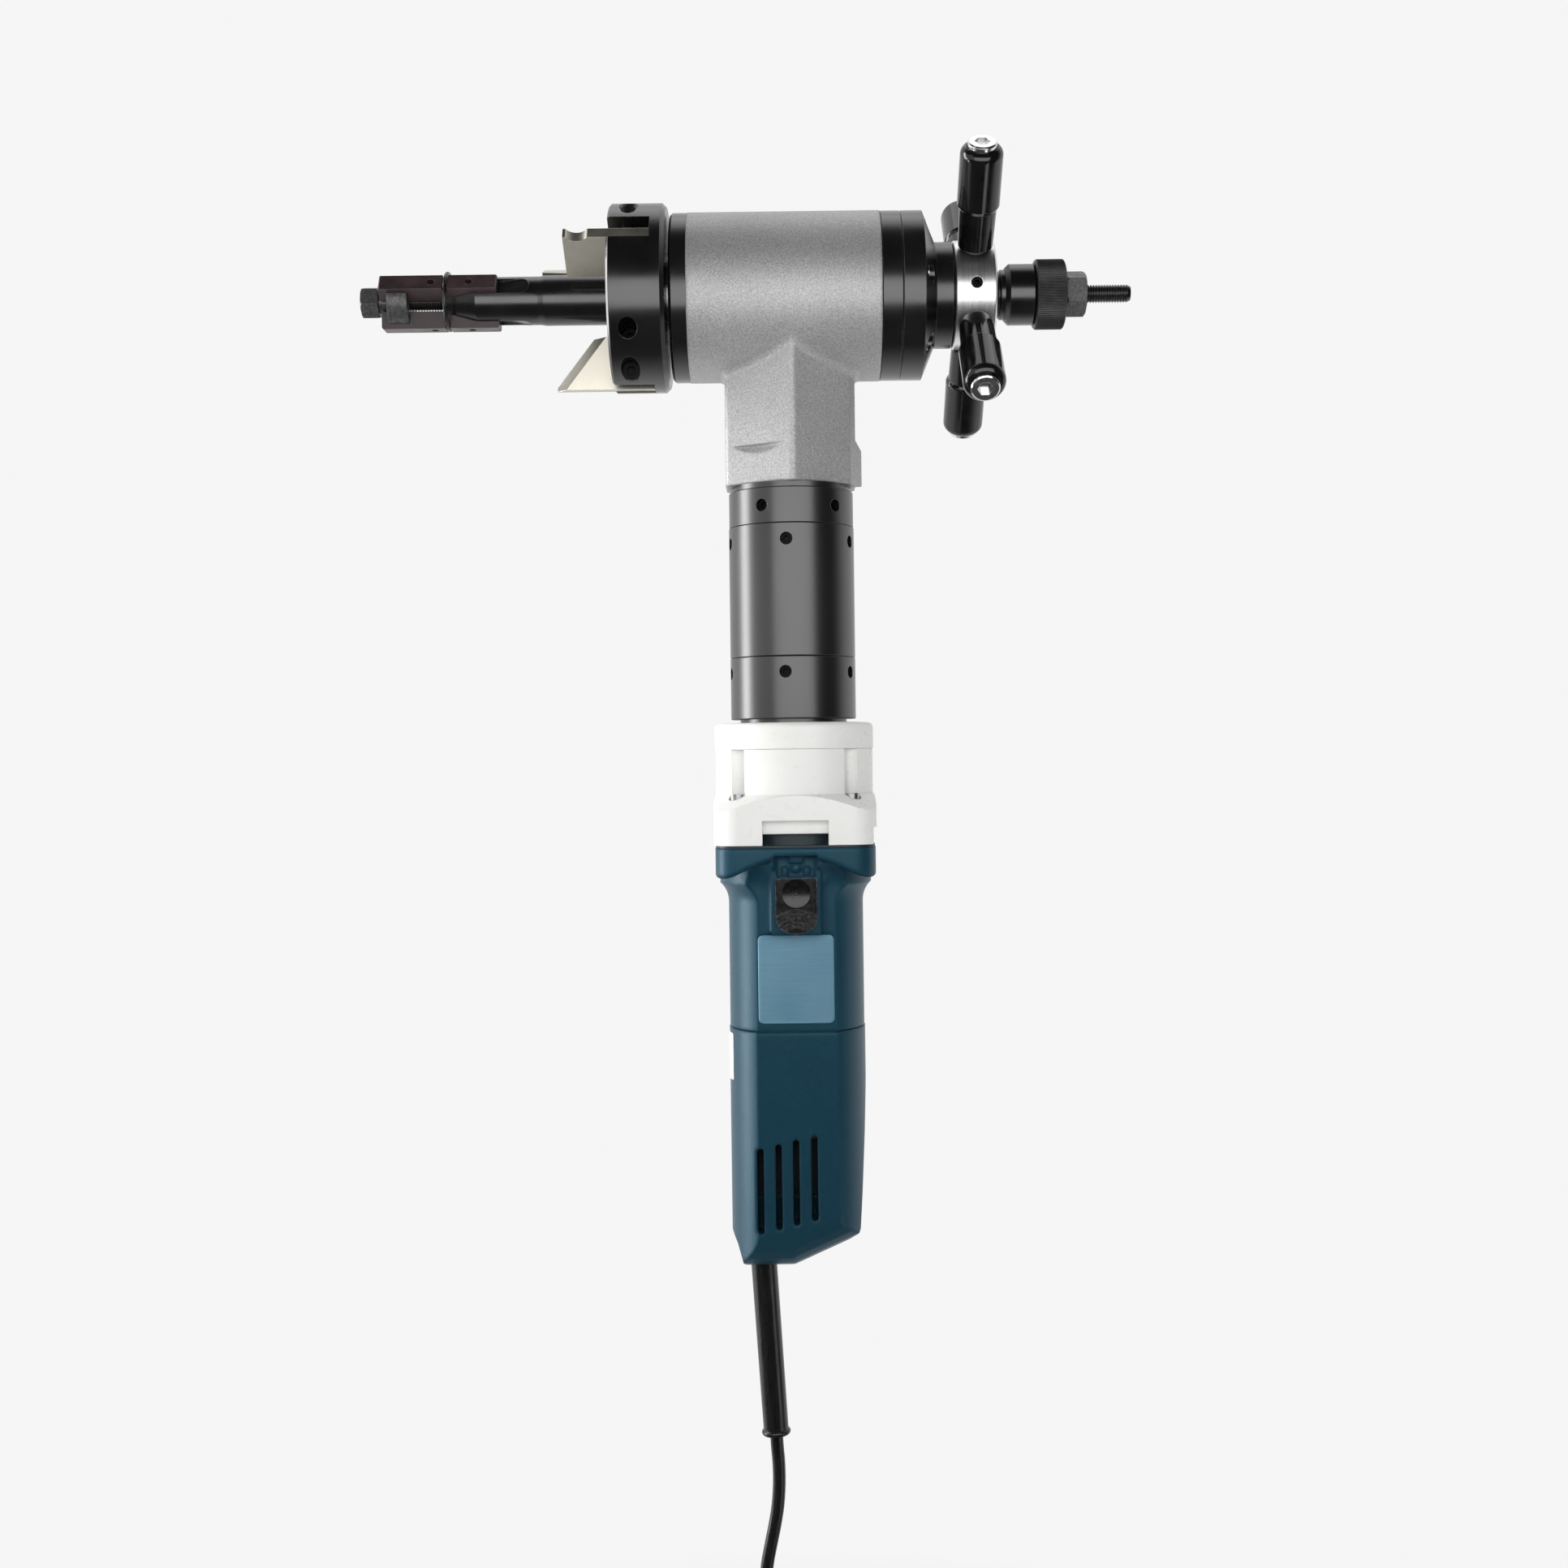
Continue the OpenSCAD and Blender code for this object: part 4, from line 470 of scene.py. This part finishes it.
# %% [markdown]
# ## Cutter steel
# The cutters are high-speed steel with a warm nickel-like coat, ground on every face. It is a true metal,
# so its colour lives in the reflection: metallic 1 and a warm base. A fine cross grain and a patchy
# roughness keep it satin instead of mirror.

# %% Finish of the cutters
tree, cutter = new_finish("cutter_steel", 0.3, 1.0)
lines = grain(tree, (900, 300, 300))
patches = grain(tree, (90, 90, 90), 3.0)
warm = tint(tree, spread(tree, patches, 0, 1), (0.49, 0.465, 0.395), (0.58, 0.553, 0.483))
edge_wear_and_highlight = find_worn_highlit_edges(tree, 0.0004, grain(tree, (300, 300, 300)))
tree.links.new(tint(tree, edge_wear_and_highlight, warm, (0.85, 0.84, 0.8)), cutter.inputs["Base Color"])
tree.links.new(spread(tree, patches, 0.25, 0.36), cutter.inputs["Roughness"])
tree.links.new(raised(tree, lines, 0.000005, 0.0002), cutter.inputs["Normal"])
print("cutter finish:", finishes["cutter_steel"].name)

# %% [markdown]
# ## Blasted casting
# The housing is an aluminium casting, blasted with grit so that it looks like fine grey sand. Grit leaves
# pits under a millimetre across in two sizes, and the pits hold dirt, so one pair of grains drives both the
# colour and the bump. The casting's corners are soft, and a wide Bevel radius gives them that in shading.

# %% Finish of the housing
tree, casting = new_finish("cast_grey", 0.48, 0.55, 1.5)
sand = grain(tree, (1300, 1300, 1300), 2.0)
grit = grain(tree, (2900, 2900, 2900), 2.0)
cloud = grain(tree, (22, 22, 22), 3.0)
pits = tree.nodes.new("ShaderNodeMath")
pits.operation = "ADD"
tree.links.new(sand, pits.inputs[0])
tree.links.new(grit, pits.inputs[1])
speckle = tint(tree, spread(tree, pits.outputs[0], 0, 1, 0.72, 1.28), (0.32, 0.32, 0.322), (0.6, 0.6, 0.6))
tree.links.new(
    tint(tree, spread(tree, cloud, 0.0, 0.16), speckle, (0.22, 0.22, 0.22)), casting.inputs["Base Color"]
)
tree.links.new(spread(tree, grit, 0.4, 0.55), casting.inputs["Roughness"])
tree.links.new(raised(tree, pits.outputs[0], 0.00012, 0.0018), casting.inputs["Normal"])
print("casting finish:", finishes["cast_grey"].name)

# %% [markdown]
# ## Bright metals
# The feed hub is bare turned aluminium, the arm screws are bright plated steel, and the hidden shafts,
# bearings and gears are plain machined steel. All are true metals that differ in colour, in roughness and
# in the way the tool went over them: rings along X on the hub, fine all-round grain on the rest.

# %% Finishes of hub, screws, shafts and gears
tree, turned = new_finish("turned_aluminium", 0.2, 1.0)
rings = grain(tree, (2600, 16, 16), 3.0)
tone = tint(tree, spread(tree, rings, 0, 1), (0.74, 0.745, 0.75), (0.86, 0.86, 0.865))
tree.links.new(tone, turned.inputs["Base Color"])
tree.links.new(spread(tree, rings, 0.28, 0.36), turned.inputs["Roughness"])
tree.links.new(raised(tree, rings, 0.000002, 0.0004), turned.inputs["Normal"])

tree, bright = new_finish("chrome", 0.14, 1.0)
haze = grain(tree, (500, 500, 500), 3.0)
tree.links.new(
    tint(tree, spread(tree, haze, 0, 1), (0.7, 0.7, 0.71), (0.82, 0.82, 0.83)), bright.inputs["Base Color"]
)
tree.links.new(spread(tree, haze, 0.1, 0.24), bright.inputs["Roughness"])
tree.links.new(raised(tree, haze, 0.000008, 0.0003), bright.inputs["Normal"])

for slot, dark, pale, rough in (
    ("steel", (0.34, 0.34, 0.345), (0.46, 0.46, 0.465), 0.26),
    ("gear_steel", (0.27, 0.27, 0.28), (0.38, 0.38, 0.385), 0.32),
):
    tree, metal = new_finish(slot, rough, 1.0)
    lines = grain(tree, (700, 700, 260))
    tree.links.new(tint(tree, spread(tree, lines, 0, 1), dark, pale), metal.inputs["Base Color"])
    tree.links.new(spread(tree, lines, rough - 0.06, rough + 0.1), metal.inputs["Roughness"])
    tree.links.new(raised(tree, lines, 0.000008, 0.0002), metal.inputs["Normal"])
print("bright metals:", ", ".join(("turned_aluminium", "chrome", "steel", "gear_steel")))

# %% [markdown]
# ## Plastics
# Four mouldings tell their age by gloss. The hand grips are polished black, hard and clean. The adapter is
# glossy white and has picked up a little grey where it is handled. The motor's teal shell has a spark-eroded
# texture: tiny even hills that scatter the light into a soft sheen, which takes on some of the plastic's
# blue. The switch and the dark inner parts are satin with paler edges: on the switch a painted highlight
# along its edges and ribs, on the dark inner parts a little rubbing.

# %% Finishes of grips, adapter, motor shell and switch
tree, grip = new_finish("black_plastic", 0.12, 0.0, 1.53)
ripple = grain(tree, (160, 160, 160), 2.0)
tree.links.new(
    tint(tree, spread(tree, ripple, 0, 1), (0.0035, 0.0035, 0.0038), (0.006, 0.006, 0.0063)),
    grip.inputs["Base Color"],
)
tree.links.new(spread(tree, ripple, 0.09, 0.16), grip.inputs["Roughness"])
tree.links.new(raised(tree, ripple, 0.00002, 0.0005), grip.inputs["Normal"])

tree, adapter = new_finish("white_plastic", 0.3, 0.0, 1.46)
handled = grain(tree, (28, 28, 28), 5.0)
ripple = grain(tree, (240, 240, 240), 2.0)
tree.links.new(
    tint(tree, spread(tree, handled, 0, 1, 0.5, 0.8), (0.86, 0.86, 0.84), (0.76, 0.755, 0.72)),
    adapter.inputs["Base Color"],
)
tree.links.new(spread(tree, ripple, 0.26, 0.36), adapter.inputs["Roughness"])
tree.links.new(raised(tree, ripple, 0.00002, 0.0006), adapter.inputs["Normal"])

tree, teal = new_finish("teal_plastic", 0.38, 0.0, 1.5)
teal.inputs["Specular IOR Level"].default_value = 0.46
teal.inputs["Specular Tint"].default_value = (0.55, 0.82, 1.0, 1)
hills = grain(tree, (1500, 1500, 1500), 2.0)
handled = grain(tree, (30, 30, 30), 4.0)
tone = tint(tree, spread(tree, handled, 0, 1), (0.0042, 0.037, 0.063), (0.0054, 0.0445, 0.073))
tree.links.new(
    tint(tree, spread(tree, hills, 0, 0.35), tone, (0.009, 0.058, 0.088)), teal.inputs["Base Color"]
)
tree.links.new(spread(tree, hills, 0.32, 0.46), teal.inputs["Roughness"])
tree.links.new(raised(tree, hills, 0.00003, 0.0026), teal.inputs["Normal"])

# edge colour: a painted highlight on the switch, rubbing on the dark inner parts
for slot, dark, pale, edge_rub_and_highlight, rough, edge in (
    ("switch_plastic", (0.0035, 0.0035, 0.0037), (0.0065, 0.0065, 0.007), (0.3, 0.3, 0.3), 0.22, 0.0001),
    ("dark_plastic", (0.007, 0.019, 0.027), (0.011, 0.027, 0.037), (0.025, 0.06, 0.08), 0.42, 0.0003),
):
    tree, satin = new_finish(slot, rough, 0.0, 1.5)
    hills = grain(tree, (700, 700, 700), 2.0)
    edge_wear_and_highlight = find_worn_highlit_edges(tree, 0.0005, hills)
    skin = tint(tree, spread(tree, hills, 0, 1), dark, pale)
    tree.links.new(tint(tree, edge_wear_and_highlight, skin, edge_rub_and_highlight), satin.inputs["Base Color"])
    tree.links.new(spread(tree, hills, rough - 0.04, rough + 0.06), satin.inputs["Roughness"])
    tree.links.new(raised(tree, hills, 0.0000012, edge), satin.inputs["Normal"])
print("plastics:", len(finishes), "finishes so far")

# %% [markdown]
# ## Rubber, winding and carbon
# The strain relief, cord and plug are soft black rubber with a waxy shine and a faint drawn grain along
# their length. Inside the motor, the stator is lacquered copper and thin iron sheets stacked along the
# shaft, and the brushes are pressed carbon.

# %% Finishes of cord, stator and brushes
tree, rubber = new_finish("black_rubber", 0.28, 0.0, 1.5)
drawn = grain(tree, (900, 900, 60), 3.0)
tree.links.new(
    tint(tree, spread(tree, drawn, 0, 1), (0.006, 0.006, 0.0062), (0.012, 0.012, 0.0122)),
    rubber.inputs["Base Color"],
)
tree.links.new(spread(tree, drawn, 0.23, 0.34), rubber.inputs["Roughness"])
tree.links.new(raised(tree, drawn, 0.00002), rubber.inputs["Normal"])

tree, winding = new_finish("winding", 0.4, 0.6)
sheets = grain(tree, (8, 8, 1800), 2.0)
tree.links.new(
    tint(tree, spread(tree, sheets, 0, 1), (0.2, 0.1, 0.05), (0.42, 0.24, 0.12)), winding.inputs["Base Color"]
)
tree.links.new(raised(tree, sheets, 0.0001), winding.inputs["Normal"])

tree, carbon = new_finish("carbon", 0.6, 0.0, 1.6)
pressed = grain(tree, (1600, 1600, 1600), 3.0)
tone = tint(tree, spread(tree, pressed, 0, 1), (0.02, 0.02, 0.02), (0.05, 0.05, 0.052))
tree.links.new(tone, carbon.inputs["Base Color"])
tree.links.new(raised(tree, pressed, 0.00003), carbon.inputs["Normal"])
print("finishes made:", len(finishes))

# %% [markdown]
# ## Screws sunk in their holes
# The grub screws of the gearbox, the cutter clamps and the hub's set screw sit deep in their holes, and each
# one looks like a dark well. That well is painted shade: they keep the blacked steel's slot, but take a
# darker, duller finish of their own with hardly any mirror in it.

# %% Finish of the sunk screws, painted as shade
# darker black with little mirror: painted shade of the deep holes
tree, sunk = new_finish("painted_shade_screw", 0.5, 0.0, 1.5)
sunk.inputs["Specular IOR Level"].default_value = 0.12
shade_speckle = grain(tree, (900, 900, 900), 3.0)
tree.links.new(
    tint(tree, spread(tree, shade_speckle, 0, 1), (0.0016, 0.0016, 0.0017), (0.0045, 0.0045, 0.0048)),
    sunk.inputs["Base Color"],
)
tree.links.new(spread(tree, shade_speckle, 0.4, 0.6), sunk.inputs["Roughness"])
tree.links.new(raised(tree, shade_speckle, 0.00002, 0.0002), sunk.inputs["Normal"])
SUNK_SCREWS = ("gearbox_grub_screws", "cutter_screws", "hub_set_screw")
print("sunk screws:", ", ".join(SUNK_SCREWS))

# %% [markdown]
# ## Milled nuts
# The front nut, the jaw carrier and the tension nut's hexagon were milled from bar and only half blacked,
# so their flats are greyer than the turned parts and show the sweep of the milling cutter. A stretched grain
# draws that sweep, and some metal in the finish lets the flats catch the light. The knurled end of the
# tension nut stays blacked: places along X tell the knurl from the hexagon.

# %% Finish of the nuts
KNURL_FROM = 0.2685
KNURL_TO = 0.2833
tree, milled = new_finish("milled_black", 0.38, 0.45, 1.6)
sweep = grain(tree, (900, 120, 900), 3.0)
patches = grain(tree, (160, 160, 160), 3.0)
edge_wear_and_highlight = find_worn_highlit_edges(tree, 0.0005, grain(tree, (300, 300, 300)))
flats = tint(tree, spread(tree, sweep, 0, 1), (0.05, 0.05, 0.051), (0.12, 0.12, 0.121))
along = tree.nodes.new("ShaderNodeTexCoord")
split = tree.nodes.new("ShaderNodeSeparateXYZ")
tree.links.new(along.outputs["Object"], split.inputs[0])
knurl = spread(tree, split.outputs["X"], 0, 1, KNURL_FROM, KNURL_FROM + 0.001)
hexagon = spread(tree, split.outputs["X"], 0, 1, KNURL_TO - 0.0005, KNURL_TO + 0.0005)
blacked = tint(tree, knurl, flats, (0.02, 0.02, 0.0205))
skin = tint(tree, hexagon, blacked, flats)
tree.links.new(tint(tree, edge_wear_and_highlight, skin, (0.2, 0.2, 0.205)), milled.inputs["Base Color"])
tree.links.new(spread(tree, patches, 0.32, 0.46), milled.inputs["Roughness"])
tree.links.new(raised(tree, sweep, 0.000008, 0.0003), milled.inputs["Normal"])
MILLED_NUTS = ("front_nut", "jaw_carrier", "tension_nut")
print("milled nuts:", ", ".join(MILLED_NUTS))

# %% Give every solid the finish of its slot
for subpart in frame["record"]["subparts"]:
    solid = nodes[subpart["node"]]
    solid.data.materials.clear()
    finish = subpart["material_slot"]
    if subpart["node"] in SUNK_SCREWS:
        finish = "painted_shade_screw"
    if subpart["node"] in MILLED_NUTS:
        finish = "milled_black"
    solid.data.materials.append(finishes[finish])
mains_cord.data.materials.append(finishes["black_rubber"])

# %% [markdown]
# ## Films on the motor
# A motor of this kind carries a name plate on the flat of its shell and a white sticker on the side of its
# handle. Here both are left bare. Each film is laid out in two directions, across and down, and a small
# rule puts it on the flat or bends it round the handle. Rows near the ends are drawn in to round the
# corners, and the top is set back a little from the rim so that the film has a soft lip.

# %% Where a film's points lie, on the flat and on the round
FLAT_Y = 0.025
PLATE_W = 0.0336
PLATE_CROWN = 0.0008
PLATE_LEFT = 0.0004
HANDLE_R = 0.0308
STICKER_TURN = math.radians(-100)


def on_flat(across, z, lift):
    """A point in front of the shell's flat, lifted towards the viewer and crowned in its middle."""
    crown = PLATE_CROWN * (1 - (across / (PLATE_W / 2)) ** 2)
    return MOTOR_X - PLATE_LEFT + across, -FLAT_Y - lift - crown, z


def on_side(across, z, lift):
    """A point on the round left side of the handle, lifted outwards."""
    turn = STICKER_TURN + across / HANDLE_R
    out = HANDLE_R + lift
    return MOTOR_X + out * math.sin(turn), -out * math.cos(turn), z


print("sticker turned by degrees:", round(math.degrees(STICKER_TURN)))


# %% Lay a film
def rim(grid):
    """The points round the outside of a grid, in order."""
    right = [line[-1] for line in grid[1:]]
    left = [line[0] for line in grid[-2:0:-1]]
    return grid[0] + right + grid[-1][-2::-1] + left


def linked_piece(name, mesh):
    """A smooth piece in the scene, made from the finished mesh."""
    bmesh.ops.recalc_face_normals(mesh, faces=mesh.faces)
    data = bpy.data.meshes.new(name)
    mesh.to_mesh(data)
    mesh.free()
    data.shade_smooth()
    piece = bpy.data.objects.new(name, data)
    scene.collection.objects.link(piece)
    return piece


def laid_film(name, lay, width, low, high, corner, thick):
    """A film with round corners whose points are placed by the given rule."""
    mesh = bmesh.new()
    rows = [0, 0.12, 0.35, 0.65, 1]
    levels = [low + corner * r for r in rows] + [high - corner * r for r in reversed(rows)]
    columns = 24
    layers = []
    for lift, inset in ((-0.0003, 0), (thick * 0.6, 0), (thick, 0.0003)):
        grid = []
        for level in levels:
            z = min(max(level, low + inset), high - inset)
            into = max(low + corner - level, level - high + corner, 0)
            half = width / 2 - corner + math.sqrt(max(corner ** 2 - into ** 2, 0)) - inset
            line = []
            for k in range(columns + 1):
                line.append(mesh.verts.new(lay(half * (2 * k / columns - 1), z, lift)))
            grid.append(line)
        layers.append(grid)
    top = layers[-1]
    for lower, upper in zip(top, top[1:]):
        for k in range(columns):
            mesh.faces.new((lower[k], lower[k + 1], upper[k + 1], upper[k]))
    for inner, outer in zip(layers, layers[1:]):
        rim_in = rim(inner)
        rim_out = rim(outer)
        for k in range(len(rim_in)):
            n = (k + 1) % len(rim_in)
            mesh.faces.new((rim_in[k], rim_in[n], rim_out[n], rim_out[k]))
    used = {v for face in mesh.faces for v in face.verts}
    bmesh.ops.delete(mesh, geom=[v for v in mesh.verts if v not in used], context="VERTS")
    piece = linked_piece(name, mesh)
    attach(piece, "machine")
    return piece


name_plate = laid_film("name_plate", on_flat, PLATE_W, -0.3271, -0.2881, 0.0022, 0.0004)
side_sticker = laid_film("side_sticker", on_side, 0.032, -0.3545, -0.3335, 0.001, 0.0002)
print("films:", name_plate.name, side_sticker.name)

# %% Finish of the two films
tree, plate = new_finish("label_film", 0.32, 0.1, 1.5)
brushed = grain(tree, (60, 60, 2200), 3.0)
worn = grain(tree, (60, 60, 60), 4.0)
film = tint(tree, spread(tree, brushed, 0, 1), (0.112, 0.252, 0.346), (0.13, 0.286, 0.39))
tree.links.new(tint(tree, spread(tree, worn, 0, 0.3), film, (0.17, 0.33, 0.43)), plate.inputs["Base Color"])
tree.links.new(spread(tree, worn, 0.28, 0.4), plate.inputs["Roughness"])
tree.links.new(raised(tree, brushed, 0.00001), plate.inputs["Normal"])
name_plate.data.materials.append(finishes["label_film"])

tree, sticker = new_finish("sticker_film", 0.4, 0.0, 1.45)
fibres = grain(tree, (500, 500, 900), 3.0)
tone = tint(tree, spread(tree, fibres, 0, 1), (0.74, 0.75, 0.75), (0.86, 0.86, 0.86))
tree.links.new(tone, sticker.inputs["Base Color"])
tree.links.new(spread(tree, fibres, 0.34, 0.5), sticker.inputs["Roughness"])
tree.links.new(raised(tree, fibres, 0.00002), sticker.inputs["Normal"])
side_sticker.data.materials.append(finishes["sticker_film"])
print("film finishes:", name_plate.data.materials[0].name, side_sticker.data.materials[0].name)

# %% [markdown]
# ## Elastic ring on the jaws
# An elastic ring holds the three jaws down on their ramps and stretches as they open. A rigid ring cannot
# stretch, so it is cut into three arcs, one carried by each jaw. Each arc reaches past the middle of the
# gap to its neighbours, and its ends taper inside them, so the ring looks whole while the jaws part.

# %% Three arcs of the elastic ring
RING_R = 0.0125
RING_T = 0.0019
RING_X = 0.0034
ARC_HALF = 68
TAPER_FROM = 56
TAPER = 0.12


def ring_arc(name, turn):
    """A round cord bent to an arc whose middle is turned from straight up, towards the viewer."""
    mesh = bmesh.new()
    loops = []
    steps = 56
    sides = 16
    for i in range(steps + 1):
        s = ARC_HALF * (2 * i / steps - 1)
        thin = 1 - TAPER * max((abs(s) - TAPER_FROM) / (ARC_HALF - TAPER_FROM), 0)
        a = math.radians(turn + s)
        loop = []
        for k in range(sides):
            b = 2 * math.pi * k / sides
            r = RING_R + thin * RING_T / 2 * math.cos(b)
            x = RING_X + thin * RING_T / 2 * math.sin(b)
            loop.append(mesh.verts.new((x, -r * math.sin(a), r * math.cos(a))))
        loops.append(loop)
    for one, two in zip(loops, loops[1:]):
        for k in range(sides):
            n = (k + 1) % sides
            mesh.faces.new((one[k], one[n], two[n], two[k]))
    mesh.faces.new(loops[0])
    mesh.faces.new(reversed(loops[-1]))
    piece = linked_piece(name, mesh)
    piece.data.materials.append(finishes["black_rubber"])
    return piece


ring_arcs = []
for letter, turn in (("a", 60), ("b", 180), ("c", 300)):
    arc = ring_arc("jaw_ring_arc_" + letter, turn)
    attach(arc, "jaw_" + letter)
    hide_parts("jaw_ring")
    ring_arcs.append(arc)
print("ring arcs:", len(ring_arcs))
